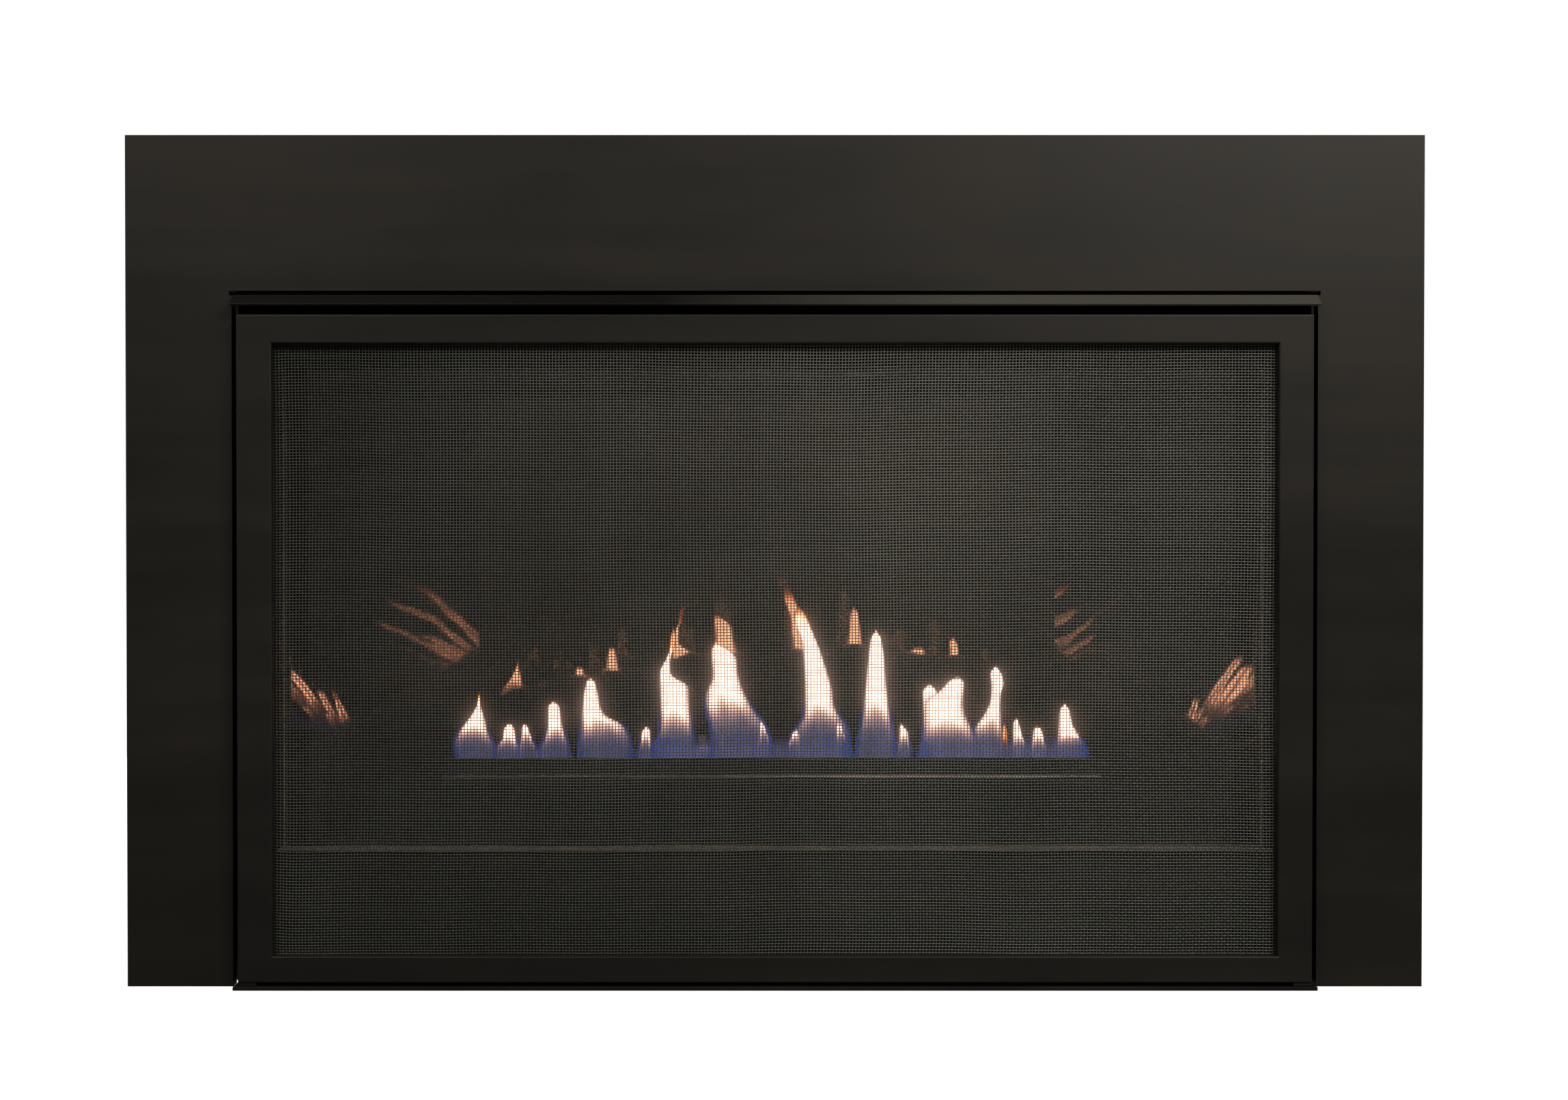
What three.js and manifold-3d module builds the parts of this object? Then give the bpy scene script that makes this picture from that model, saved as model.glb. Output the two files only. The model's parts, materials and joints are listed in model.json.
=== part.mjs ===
// A gas fireplace insert: a sealed firebox in a sheet steel casing, with a flat surround,
// a hood over the warm air slot and a woven wire safety screen that pulls off forwards.
// Millimetres. +X is the viewer's right, +Y goes into the wall and +Z is up. The origin is on
// the hearth, on the centre line, in the plane of the wall that the surround stands against.

import * as THREE from 'three';
import { mergeVertices } from 'three/addons/utils/BufferGeometryUtils.js';
import Module from 'manifold-3d';

const wasm = await Module();
wasm.setup();

// Sheet, clearance and drawing
const fit = 0.3;
const overrun = 4;
const sheet = 2;
const lightSheet = 1.5;
const hexagonSides = 6;
const coarseSides = 8;
const roundSides = 16;
const fineSides = 24;
const pipeSteps = 10;
const pipeSegments = 4;

// Surround and the opening in it
const openingWidth = 860;
const openingHeight = 552;
const openingReturn = 12;
const surroundSide = 84;
const surroundBand = 123;
const surroundDepth = 20;
const cornerRelief = 2;
const cornerReliefDrop = 3.7;
const bracketStandoff = 12;
const bracketTab = 20;
const bracketLeg = 30;

// Casing
const casingReveal = 3;
const casingInset = 2;
const casingStraight = 52;
const casingDepth = 400;
const casingBackWidth = 640;
const basePlate = 3;
const shelfReach = 16;

// Hood
const hoodGap = 4;
const hoodUpstand = 32;
const hoodFlat = 7;
const hoodReach = 10;
const hoodDrop = 8;
const hoodLap = 1;
const hoodWing = 12;

// Levelling bolts
const boltOffset = 295;
const boltInset = 50;
const boltRadius = 4;
const boltHeadRadius = 7.5;
const boltHeadHeight = 5.5;
const boltBossHeight = 7;
const boltTravel = 20;

// Safety screen
const screenSideGap = 7;
const screenTopGap = 20;
const screenLift = 3;
const screenProud = 15;
const screenDepth = 14;
const screenStile = 27.6;
const screenTopRail = 23;
const screenBottomRail = 21;
const footWidth = 14.5;
const netSetback = 8;
const netHem = 12;
const netThickness = 1.6;
const netBar = 3;
const netColumns = 20;
const netRows = 13;

// Glass front
const glassRecess = 35;
const glassSideMargin = 24;
const glassTopMargin = 57;
const glassLipRise = 0.5;
const glassFlange = 17;
const glassLedge = 21;
const glassThickness = 5;
const gasketWidth = 10;
const gasketThickness = 4.4;
const faceInset = 1;
const faceLap = 16;
const faceTopLap = 26;

// Firebox
const floorHeight = 102.5;
const fireboxHeadroom = 11;
const rearSpace = 90;
const rearSideGap = 47;
const linerThickness = 3;

// Burner
const platformSetback = 45;
const platformHeight = 50;
const platformWeb = 200;
const burnerWidth = 557;
const burnerDepth = 60;
const burnerSetback = 19;
const burnerRise = 14.2;
const burnerLip = 7;
const burnerSeat = 5.2;
const burnerLedgeDrop = 7.7;
const portColumns = 16;
const portLength = 14;
const portWidth = 3;
const portRowGap = 22;
const tubeRadius = 14;
const tubeLength = 190;
const tubeDrop = 24.5;
const windowLength = 16;
const windowWidth = 12;
const shutterLength = 24;
const shutterLever = 16;
const injectorRadius = 5;
const injectorBody = 16;
const injectorReach = 18;
const gasTubeRadius = 4;
const gasTubeBend = 12;
const gasLinkBend = 6;

// Pilot
const pilotOffset = 60;
const pilotGap = 18;
const pilotPlateRise = 12;
const pilotPlateLength = 60;
const pilotPlateWidth = 16;
const pilotSpacing = 18;
const pilotRadius = 4;
const pilotHoodRadius = 6.5;
const pilotHeight = 12;
const thermopileRadius = 4.5;
const electrodeRadius = 2.5;

// Flue and combustion air
const collarRadius = 38;
const collarRise = 44;
const collarFlange = 10;
const flueOffset = 90;
const flueInset = 130;
const ductWidth = 100;
const ductDepth = 75;
const airHoleHeight = 30;
const airHoleLift = 8;

// Relief door
const reliefOffset = 230;
const reliefInset = 250;
const reliefWidth = 84;
const reliefDepth = 58;
const reliefLap = 8;
const reliefBarrel = 3;
const reliefPin = 2;
const reliefEar = 2.5;

// Glass latches
const latchOffset = 150;
const latchWidth = 20;
const latchPinRadius = 2.5;
const latchDrop = 32.5;
const latchBack = 16;
const latchArm = 8;
const latchTab = 25;
const latchHook = 6;

// Access panel and air intake
const panelLap = 5;
const panelRecess = 32;
const panelReturn = 20;
const intakeSlot = 9;

// Gas controls
const plateOffset = 260;
const plateWidth = 168;
const plateRecess = 72;
const plateFoot = 18;
const valveWidth = 90;
const valveDepth = 58;
const valveHeight = 52;
const valveLift = 24;
const spindleRadius = 4;
const spindleTravel = 4;
const knobSpacing = 44;
const pilotKnobRadius = 14;
const flameKnobRadius = 12;
const knobLength = 19;
const knobGrip = 3;
const knobGrips = 8;
const piezoRadius = 8;
const piezoNutRadius = 11;
const piezoNut = 4;
const piezoLength = 40;
const piezoButtonRadius = 5.5;
const piezoTravel = 6;
const piezoReach = 2;
const switchWidth = 13;
const switchHeight = 21;
const switchDepth = 18;
const switchBezel = 2;
const switchSwing = 8;
const gasLineSetback = 66;
const gasLineHeight = 44;
const nippleRadius = 9;
const nippleReach = 24;
const shutoffRadius = 12;
const shutoffLength = 32;
const handleLength = 46;
const handleWidth = 9;
const handleThickness = 3.5;

// Blower
const blowerOffset = 60;
const blowerInset = 48;
const blowerLength = 240;
const blowerRadius = 24;
const blowerHeight = 46;
const blowerBlades = 12;
const bladeDepth = 7;
const blowerGap = 6;
const shaftRadius = 3;
const motorRadius = 26;
const motorLength = 40;

// Power inlet
const inletOffset = 275;
const inletHeight = 64;
const inletWidth = 48;
const inletTall = 24;
const inletDepth = 25;
const inletFlange = 4;
const inletWall = 3;
const inletRecess = 16;

// Finishes
const charcoalPaint = { color: 0x2c2b27, roughness: 0.55, metalness: 0.25 };
const screenPaint = { color: 0x292824, roughness: 0.5, metalness: 0.3 };
const wireSteel = { color: 0x4a4844, roughness: 0.45, metalness: 0.8 };
const blackSteel = { color: 0x1b1a18, roughness: 0.6, metalness: 0.4 };
const galvanised = { color: 0x9a9c9c, roughness: 0.45, metalness: 0.85 };
const stainless = { color: 0xa8a6a0, roughness: 0.35, metalness: 0.95 };
const blackPorcelain = { color: 0x0d0c0c, roughness: 0.08, metalness: 0.0 };
const clearCeramic = { color: 0x8f8a80, roughness: 0.05, metalness: 0.0, transparent: true, opacity: 0.3 };
const whiteRope = { color: 0xb9b4a8, roughness: 0.95, metalness: 0.0 };
const brass = { color: 0xb08d4a, roughness: 0.35, metalness: 0.9 };
const castAluminium = { color: 0x8d8f90, roughness: 0.5, metalness: 0.8 };
const blackPlastic = { color: 0x161616, roughness: 0.5, metalness: 0.0 };
const redPlastic = { color: 0x8a1414, roughness: 0.45, metalness: 0.0 };
const whiteCeramic = { color: 0xdedbd2, roughness: 0.6, metalness: 0.0 };

// Places that follow from the sizes
const faceY = -surroundDepth;
const openingHalf = openingWidth / 2;
const casingHalf = openingHalf - casingReveal;
const casingInner = casingHalf - sheet;
const casingFront = faceY + casingInset;
const casingBackHalf = casingBackWidth / 2;
const taperLean = (casingHalf - casingBackHalf) / (casingDepth - casingStraight);
const taperStretch = Math.hypot(1, taperLean);
const hoodTop = openingHeight - hoodGap;
const casingTop = hoodTop - sheet - fit;
const casingCeiling = casingTop - sheet;
const baseTop = basePlate + fit;

const glassFront = faceY + glassRecess;
const glassHalf = casingInner - glassSideMargin;
const glassBottom = floorHeight + glassLipRise;
const glassTop = openingHeight - glassTopMargin;
const paneFront = glassFront + glassLedge;
const paneBack = paneFront + glassThickness;
const faceFront = paneBack + fit + gasketThickness + fit;
const fireboxFront = faceFront + sheet + fit;
const fireboxBack = casingDepth - rearSpace;
const fireboxCeiling = glassTop + fireboxHeadroom;
const fireboxTopZ = fireboxCeiling + sheet;
const fireboxFrontHalf = glassHalf - faceInset;
const fireboxBackHalf = casingBackHalf - rearSideGap;
const splayLean = (fireboxFrontHalf - fireboxBackHalf) / (fireboxBack - fireboxFront);
const splayStretch = Math.hypot(1, splayLean);
const steelBack = fireboxBack + linerThickness + 2 * fit;
const fireboxEnd = steelBack + sheet;

const platformFront = faceFront + sheet + platformSetback;
const platformTop = floorHeight + platformHeight;
const burnerFront = platformFront + burnerSetback;
const burnerMiddle = burnerFront + burnerDepth / 2;
const tubeAxis = platformTop - tubeDrop;
const injectorX = -tubeLength - injectorReach;

const plateFront = faceY + plateRecess;
const plateBack = plateFront + sheet;
const plateMiddle = -plateOffset;
const valveFront = plateBack + fit;
const valveMiddle = plateMiddle - plateWidth / 2 + valveWidth / 2 + 2 * sheet;
const knobHeight = baseTop + valveLift + valveHeight / 2;
const knobBack = plateFront - spindleTravel - 2 * fit;
const knobFront = knobBack - knobLength;
const gasLineY = plateBack + gasLineSetback;

const flueY = casingDepth - flueInset;
const collarTop = casingTop + collarRise;

const casingHalfAt = (y) => casingHalf - Math.max(0, y - casingStraight) * taperLean;
const fireboxHalfAt = (y) => fireboxFrontHalf - (y - fireboxFront) * splayLean;

// Outlines

function shapeOf(outline) {
  if (outline instanceof THREE.Shape) return outline;
  return new THREE.Shape(outline.map(([u, v]) => new THREE.Vector2(u, v)));
}

function extruded(outline, length) {
  return new THREE.ExtrudeGeometry(shapeOf(outline), { depth: length, bevelEnabled: false });
}

const rectangle = (left, right, low, high) => [[left, low], [right, low], [right, high], [left, high]];

const mirrored = (outline) => outline.map(([x, y]) => [-x, y]);

function withHoles(outline, holes) {
  const shape = shapeOf(outline);
  for (const hole of holes) shape.holes.push(new THREE.Path(shapeOf(hole).getPoints()));
  return shape;
}

function direction(from, to) {
  const length = Math.hypot(to[0] - from[0], to[1] - from[1]);
  return [(to[0] - from[0]) / length, (to[1] - from[1]) / length];
}

// A bent sheet seen on its edge: the line, and the line again one thickness to its left.
function bent(line, thickness) {
  const moved = line.map((point, i) => {
    const before = i > 0 ? direction(line[i - 1], point) : direction(point, line[i + 1]);
    const after = i < line.length - 1 ? direction(point, line[i + 1]) : before;
    const reach = thickness / (1 + before[0] * after[0] + before[1] * after[1]);
    return [point[0] - (before[1] + after[1]) * reach, point[1] + (before[0] + after[0]) * reach];
  });
  return [...line, ...moved.reverse()];
}

// Solids, each drawn as an outline in the plane across the named axis

function alongZ(outline, low, high) {
  return extruded(outline, high - low).translate(0, 0, low);
}

function alongY(outline, low, high) {
  return extruded(outline, high - low).rotateX(Math.PI / 2).translate(0, high, 0);
}

function alongX(outline, low, high) {
  const turn = new THREE.Matrix4().makeBasis(
    new THREE.Vector3(0, 1, 0),
    new THREE.Vector3(0, 0, 1),
    new THREE.Vector3(1, 0, 0),
  );
  return extruded(outline, high - low).applyMatrix4(turn).translate(low, 0, 0);
}

function block(left, right, front, back, low, high) {
  const box = new THREE.BoxGeometry(right - left, back - front, high - low);
  return box.translate((left + right) / 2, (front + back) / 2, (low + high) / 2);
}

function rodY(radius, front, back, x = 0, z = 0, sides = roundSides) {
  const rod = new THREE.CylinderGeometry(radius, radius, back - front, sides);
  return rod.translate(x, (front + back) / 2, z);
}

function rodX(radius, left, right, y = 0, z = 0, sides = roundSides) {
  const rod = new THREE.CylinderGeometry(radius, radius, right - left, sides).rotateZ(Math.PI / 2);
  return rod.translate((left + right) / 2, y, z);
}

function rodZ(radius, low, high, x = 0, y = 0, sides = roundSides) {
  const rod = new THREE.CylinderGeometry(radius, radius, high - low, sides).rotateX(Math.PI / 2);
  return rod.translate(x, y, (low + high) / 2);
}

// A round tube along straight runs with rounded corners
function pipe(points, radius, bend) {
  const corners = points.map((point) => new THREE.Vector3(...point));
  const path = new THREE.CurvePath();
  let start = corners[0];
  for (let i = 1; i < corners.length - 1; i += 1) {
    const enter = corners[i].clone().add(corners[i - 1].clone().sub(corners[i]).setLength(bend));
    const leave = corners[i].clone().add(corners[i + 1].clone().sub(corners[i]).setLength(bend));
    path.add(new THREE.LineCurve3(start, enter));
    path.add(new THREE.QuadraticBezierCurve3(enter, corners[i], leave));
    start = leave;
  }
  path.add(new THREE.LineCurve3(start, corners[corners.length - 1]));
  const section = new THREE.Shape();
  section.absarc(0, 0, radius, 0, Math.PI * 2);
  const steps = pipeSteps * (points.length - 1);
  const options = { steps, extrudePath: path, curveSegments: pipeSegments, bevelEnabled: false };
  return new THREE.ExtrudeGeometry(section, options);
}

// Joining and cutting

function solidOf(geometry) {
  const bare = geometry.clone();
  bare.deleteAttribute('normal');
  bare.deleteAttribute('uv');
  const merged = mergeVertices(bare);
  return new wasm.Manifold(new wasm.Mesh({
    numProp: 3,
    vertProperties: new Float32Array(merged.attributes.position.array),
    triVerts: new Uint32Array(merged.index.array),
  }));
}

function geometryOf(solid) {
  const mesh = solid.getMesh();
  const geometry = new THREE.BufferGeometry();
  geometry.setAttribute('position', new THREE.BufferAttribute(mesh.vertProperties, 3));
  geometry.setIndex(new THREE.BufferAttribute(mesh.triVerts, 1));
  geometry.computeVertexNormals();
  return geometry;
}

function join(...pieces) {
  return geometryOf(pieces.map(solidOf).reduce((whole, piece) => whole.add(piece)));
}

function cut(base, ...tools) {
  return geometryOf(tools.map(solidOf).reduce((whole, tool) => whole.subtract(tool), solidOf(base)));
}

function part(name, geometry, finish) {
  const mesh = new THREE.Mesh(geometry, new THREE.MeshStandardMaterial(finish));
  mesh.name = name;
  return mesh;
}

function placed(x, y, z, ...meshes) {
  const group = new THREE.Group();
  group.position.set(x, y, z);
  group.add(...meshes);
  return group;
}

// Casing: base with its shelf, tapered sides, back and top

const casingPlan = (front) => [
  [-casingHalf, front],
  [casingHalf, front],
  [casingHalf, casingStraight],
  [casingBackHalf, casingDepth],
  [-casingBackHalf, casingDepth],
  [-casingHalf, casingStraight],
];

const casingSide = [
  [casingHalf, casingFront],
  [casingHalf, casingStraight],
  [casingBackHalf, casingDepth],
];

const bossTop = basePlate + boltBossHeight;
const boltY = casingDepth - boltInset;

function makeBase() {
  const bosses = [-boltOffset, boltOffset].map((x) => rodZ(boltHeadRadius, 0, bossTop, x, boltY));
  const bores = [-boltOffset, boltOffset].map((x) => {
    return rodZ(boltRadius + fit, -overrun, bossTop + overrun, x, boltY);
  });
  const shelfFront = faceY - shelfReach;
  const pan = join(alongZ(casingPlan(shelfFront), 0, basePlate), ...bosses);
  return part('base_pan', cut(pan, ...bores), blackSteel);
}

function makeLevellingBolt(name, x) {
  const headZ = bossTop + boltTravel + boltRadius;
  const shank = rodZ(boltRadius, fit, headZ + boltHeadHeight);
  const head = rodZ(boltHeadRadius, headZ, headZ + boltHeadHeight, 0, 0, hexagonSides);
  return placed(x, boltY, 0, part(name, join(shank, head), galvanised));
}

function makeCasing() {
  const low = baseTop;
  const high = casingCeiling - fit;
  const right = alongZ(bent(casingSide, sheet), low, high);
  const left = alongZ(bent(mirrored(casingSide), -sheet), low, high);
  const holeLeft = -casingHalf - overrun;
  const nippleHole = rodX(nippleRadius + fit, holeLeft, -casingBackHalf, gasLineY, gasLineHeight);
  const backHalf = casingBackHalf - sheet * taperStretch - fit;
  const back = block(-backHalf, backHalf, casingDepth - sheet, casingDepth, low, high);
  const inletHole = block(
    inletOffset - inletWidth / 2 - fit,
    inletOffset + inletWidth / 2 + fit,
    casingDepth - sheet - overrun,
    casingDepth + overrun,
    inletHeight - inletTall / 2 - fit,
    inletHeight + inletTall / 2 + fit,
  );
  const collarHole = (radius, x) => {
    return rodZ(radius, casingCeiling - overrun, casingTop + overrun, x, flueY, fineSides);
  };
  const top = cut(
    alongZ(casingPlan(casingFront), casingCeiling, casingTop),
    collarHole(collarRadius + fit, flueOffset),
    collarHole(collarRadius - lightSheet, -flueOffset),
  );
  return [
    part('casing_left', cut(left, nippleHole), galvanised),
    part('casing_right', right, galvanised),
    part('casing_back', cut(back, inletHole), galvanised),
    part('casing_top', top, galvanised),
  ];
}

// Surround with returned edges and a bend relief at each top corner of its opening, its two
// brackets, and the hood

function makeSurround() {
  const half = openingHalf + surroundSide;
  const top = openingHeight + surroundBand;
  const doorway = (grow, low) => [
    [openingHalf + grow, low],
    [openingHalf + grow, openingHeight + grow],
    [-openingHalf - grow, openingHeight + grow],
    [-openingHalf - grow, low],
  ];
  const arch = (grow, low) => [
    [-half - grow, low],
    [-half - grow, top + grow],
    [half + grow, top + grow],
    [half + grow, low],
    ...doorway(-grow, low),
  ];
  const reliefs = [-openingHalf - cornerRelief, openingHalf - cornerRelief].map((left) => {
    const right = left + 2 * cornerRelief;
    return block(left, right, faceY - overrun, overrun, openingHeight - cornerReliefDrop, openingHeight);
  });
  const face = cut(
    alongY(arch(0, 0), faceY, 0),
    alongY(arch(-sheet, -overrun), faceY + sheet, overrun),
    alongY(doorway(2 * sheet, -overrun), faceY + openingReturn, overrun),
    ...reliefs,
  );
  return part('surround_faceplate', face, charcoalPaint);
}

function makeBrackets() {
  const tabFront = faceY + sheet + fit;
  const armX = openingHalf + sheet + bracketStandoff;
  const line = [
    [casingHalf + fit, bracketLeg],
    [casingHalf + fit, sheet],
    [armX, sheet],
    [armX, tabFront],
    [armX + bracketTab, tabFront],
  ];
  return [
    part('surround_bracket_left', alongZ(bent(mirrored(line), -sheet), fit, casingCeiling), galvanised),
    part('surround_bracket_right', alongZ(bent(line, sheet), fit, casingCeiling), galvanised),
  ];
}

function makeHood() {
  const line = [
    [0, hoodTop + hoodUpstand],
    [0, hoodTop],
    [faceY - hoodFlat, hoodTop],
    [faceY - hoodFlat - hoodReach, hoodTop - hoodDrop],
  ];
  const half = casingHalf + hoodLap;
  const wing = openingHalf + hoodWing;
  const upstand = block(-wing, wing, 0, sheet, hoodTop, hoodTop + hoodUpstand);
  return part('hood', join(alongX(bent(line, sheet), -half, half), upstand), charcoalPaint);
}

// Safety screen: four folded rails round a woven net, standing on two feet

function makeScreen() {
  const half = openingHalf - screenSideGap;
  const top = openingHeight - screenTopGap;
  const bottom = basePlate + screenLift;
  const innerHalf = half - screenStile;
  const innerTop = top - screenTopRail;
  const innerBottom = bottom + screenBottomRail;
  const returnDepth = netSetback - fit;
  const railHalf = innerHalf - fit;
  const topRail = bent([
    [returnDepth, innerTop],
    [0, innerTop],
    [0, top],
    [screenDepth, top],
  ], -lightSheet);
  const bottomRail = bent([
    [returnDepth, innerBottom],
    [0, innerBottom],
    [0, bottom],
    [screenDepth, bottom],
  ], lightSheet);
  const stileLine = [
    [innerHalf, returnDepth],
    [innerHalf, 0],
    [half, 0],
    [half, screenDepth],
  ];
  const stile = (line, thickness, side) => {
    const edges = [side * (half - footWidth), side * half].sort((a, b) => a - b);
    const foot = block(edges[0], edges[1], 0, screenDepth, baseTop, bottom + lightSheet);
    return join(alongZ(bent(line, thickness), bottom, top), foot);
  };
  const netHalf = innerHalf + netHem;
  const netLow = innerBottom - netHem;
  const netHigh = innerTop + netHem;
  const stepX = (2 * innerHalf + netBar) / netColumns;
  const stepZ = (innerTop - innerBottom + netBar) / netRows;
  const gaps = [];
  for (let column = 0; column < netColumns; column += 1) {
    for (let row = 0; row < netRows; row += 1) {
      const left = -innerHalf + column * stepX;
      const low = innerBottom + row * stepZ;
      const gap = rectangle(left, left + stepX - netBar, low, low + stepZ - netBar);
      gaps.push(alongY(gap, netSetback - overrun, netSetback + overrun));
    }
  }
  const sheetOfNet = rectangle(-netHalf, netHalf, netLow, netHigh);
  const net = cut(alongY(sheetOfNet, netSetback, netSetback + netThickness), ...gaps);
  return placed(
    0,
    faceY - screenProud,
    0,
    part('screen_top_rail', alongX(topRail, -railHalf, railHalf), screenPaint),
    part('screen_bottom_rail', alongX(bottomRail, -railHalf, railHalf), screenPaint),
    part('screen_left_stile', stile(mirrored(stileLine), -lightSheet, -1), screenPaint),
    part('screen_right_stile', stile(stileLine, lightSheet, 1), screenPaint),
    part('screen_mesh', net, wireSteel),
  );
}

// Glass front: frame, pane and rope gasket, and the steel face ring that they seal against

function makeGlassFront() {
  const half = glassHalf + glassFlange;
  const low = glassBottom - glassFlange;
  const high = glassTop + glassFlange;
  const frameBack = paneBack + sheet;
  const inner = (grow) => {
    return rectangle(-glassHalf - grow, glassHalf + grow, glassBottom - grow, glassTop + grow);
  };
  const outer = (grow) => rectangle(-half - grow, half + grow, low - grow, high + grow);
  const frame = cut(
    alongY(withHoles(outer(0), [inner(0)]), glassFront, frameBack),
    alongY(withHoles(outer(-sheet), [inner(sheet)]), glassFront + sheet, frameBack + overrun),
    alongY(outer(-sheet), paneFront - fit, frameBack + overrun),
  );
  const pane = alongY(outer(-sheet - fit), paneFront, paneBack);
  const gasket = withHoles(inner(gasketWidth + faceInset), [inner(faceInset)]);
  const faceHalf = casingInner - fit;
  const faceLow = glassBottom - faceLap;
  const faceHole = rectangle(
    -fireboxFrontHalf,
    fireboxFrontHalf,
    glassBottom + faceInset,
    glassTop - faceInset,
  );
  const faceRing = withHoles(rectangle(-faceHalf, faceHalf, faceLow, glassTop + faceTopLap), [faceHole]);
  return [
    part('glass_frame', frame, blackSteel),
    part('glass_pane', pane, clearCeramic),
    part('glass_gasket', alongY(gasket, paneBack + fit, paneBack + fit + gasketThickness), whiteRope),
    part('firebox_face', alongY(faceRing, faceFront, faceFront + sheet), blackSteel),
  ];
}

// Firebox: steel walls with glossy enamelled liners inside them

function splayed(offset, thickness, front, back) {
  const near = offset * splayStretch;
  const far = (offset + thickness) * splayStretch;
  return [
    [fireboxHalfAt(front) + near, front],
    [fireboxHalfAt(front) + far, front],
    [fireboxHalfAt(back) + far, back],
    [fireboxHalfAt(back) + near, back],
  ];
}

const wallBuild = linerThickness + fit + sheet;

const fireboxPlan = [
  [-fireboxHalfAt(fireboxFront) - wallBuild * splayStretch, fireboxFront],
  [fireboxHalfAt(fireboxFront) + wallBuild * splayStretch, fireboxFront],
  [fireboxHalfAt(fireboxEnd) + wallBuild * splayStretch, fireboxEnd],
  [-fireboxHalfAt(fireboxEnd) - wallBuild * splayStretch, fireboxEnd],
];

const latchPivotY = fireboxFront + latchBack;
const latchPivotZ = floorHeight - latchDrop;

function makeFireboxFloor() {
  const earHalf = latchWidth / 2 + fit;
  const ears = [];
  const bores = [];
  for (const middle of [-latchOffset, latchOffset]) {
    for (const side of [-1, 1]) {
      const edges = [middle + side * earHalf, middle + side * (earHalf + sheet)].sort((a, b) => a - b);
      ears.push(block(
        edges[0],
        edges[1],
        latchPivotY - latchArm / 2,
        latchPivotY + latchArm,
        latchPivotZ - latchArm,
        floorHeight - sheet / 2,
      ));
    }
    bores.push(rodX(
      latchPinRadius + fit,
      middle - earHalf - sheet - overrun,
      middle + earHalf + sheet + overrun,
      latchPivotY,
      latchPivotZ,
    ));
  }
  const injectorHole = rodZ(
    injectorRadius + fit,
    floorHeight - sheet - overrun,
    floorHeight + overrun,
    injectorX,
    burnerMiddle,
  );
  const floor = join(alongZ(fireboxPlan, floorHeight - sheet, floorHeight), ...ears);
  return part('firebox_floor', cut(floor, injectorHole, ...bores), blackSteel);
}

const reliefY = casingDepth - reliefInset;
const reliefHingeY = reliefY + reliefDepth / 2;
const reliefHingeZ = fireboxTopZ + fit + reliefBarrel;

function makeFireboxTop() {
  const low = fireboxTopZ - sheet;
  const ears = [];
  for (const side of [-1, 1]) {
    const near = reliefOffset + side * (reliefWidth / 2 + fit);
    const edges = [near, near + side * reliefEar].sort((a, b) => a - b);
    const front = reliefHingeY - 2 * reliefBarrel;
    const back = reliefHingeY + 2 * reliefBarrel;
    ears.push(block(edges[0], edges[1], front, back, low, reliefHingeZ + reliefBarrel + sheet));
  }
  const pinHole = rodX(
    reliefPin + fit,
    reliefOffset - reliefWidth / 2 - reliefEar - overrun,
    reliefOffset + reliefWidth / 2 + reliefEar + overrun,
    reliefHingeY,
    reliefHingeZ,
  );
  const reliefHole = block(
    reliefOffset - reliefWidth / 2 + reliefLap,
    reliefOffset + reliefWidth / 2 - reliefLap,
    reliefY - reliefDepth / 2 + reliefLap,
    reliefY + reliefDepth / 2 - reliefLap,
    low - overrun,
    fireboxTopZ + overrun,
  );
  const flueRadius = collarRadius - lightSheet;
  const flueHole = rodZ(flueRadius, low - overrun, fireboxTopZ + overrun, flueOffset, flueY, fineSides);
  const top = join(alongZ(fireboxPlan, low, fireboxTopZ), ...ears);
  return part('firebox_top', cut(top, pinHole, reliefHole, flueHole), blackSteel);
}

function makeFirebox() {
  const low = floorHeight + fit;
  const high = fireboxCeiling - fit;
  const linerPlan = splayed(0, linerThickness, fireboxFront, fireboxBack);
  const steelPlan = splayed(linerThickness + fit, sheet, fireboxFront, steelBack - fit);
  const backHalf = fireboxHalfAt(steelBack) + wallBuild;
  const back = block(-backHalf, backHalf, steelBack, fireboxEnd, low, high);
  const airHole = block(
    -flueOffset - ductWidth / 2 + 2 * sheet,
    -flueOffset + ductWidth / 2 - 2 * sheet,
    steelBack - overrun,
    fireboxEnd + overrun,
    floorHeight + airHoleLift,
    floorHeight + airHoleLift + airHoleHeight,
  );
  const linerHalf = fireboxBackHalf - fit;
  const linerFront = fireboxBack + fit;
  const linerEnd = linerFront + linerThickness;
  const linerBack = block(-linerHalf, linerHalf, linerFront, linerEnd, platformTop + fit, high);
  return [
    makeFireboxFloor(),
    makeFireboxTop(),
    part('firebox_left', alongZ(mirrored(steelPlan), low, high), blackSteel),
    part('firebox_right', alongZ(steelPlan, low, high), blackSteel),
    part('firebox_back', cut(back, airHole), blackSteel),
    part('liner_left', alongZ(mirrored(linerPlan), low, high), blackPorcelain),
    part('liner_right', alongZ(linerPlan, low, high), blackPorcelain),
    part('liner_back', linerBack, blackPorcelain),
  ];
}

// Relief door: a weighted flap over a hole in the firebox top, which lifts on a pressure surge
function makeReliefDoor() {
  const half = reliefWidth / 2;
  const low = -reliefBarrel;
  const plate = block(-half, half, -reliefDepth, 0, low, low + sheet);
  const barrel = rodX(reliefBarrel, -half, half);
  const pin = rodX(reliefPin, -half - reliefEar, half + reliefEar);
  const door = part('relief_door', join(plate, barrel, pin), blackSteel);
  return placed(reliefOffset, reliefHingeY, reliefHingeZ, door);
}

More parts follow.
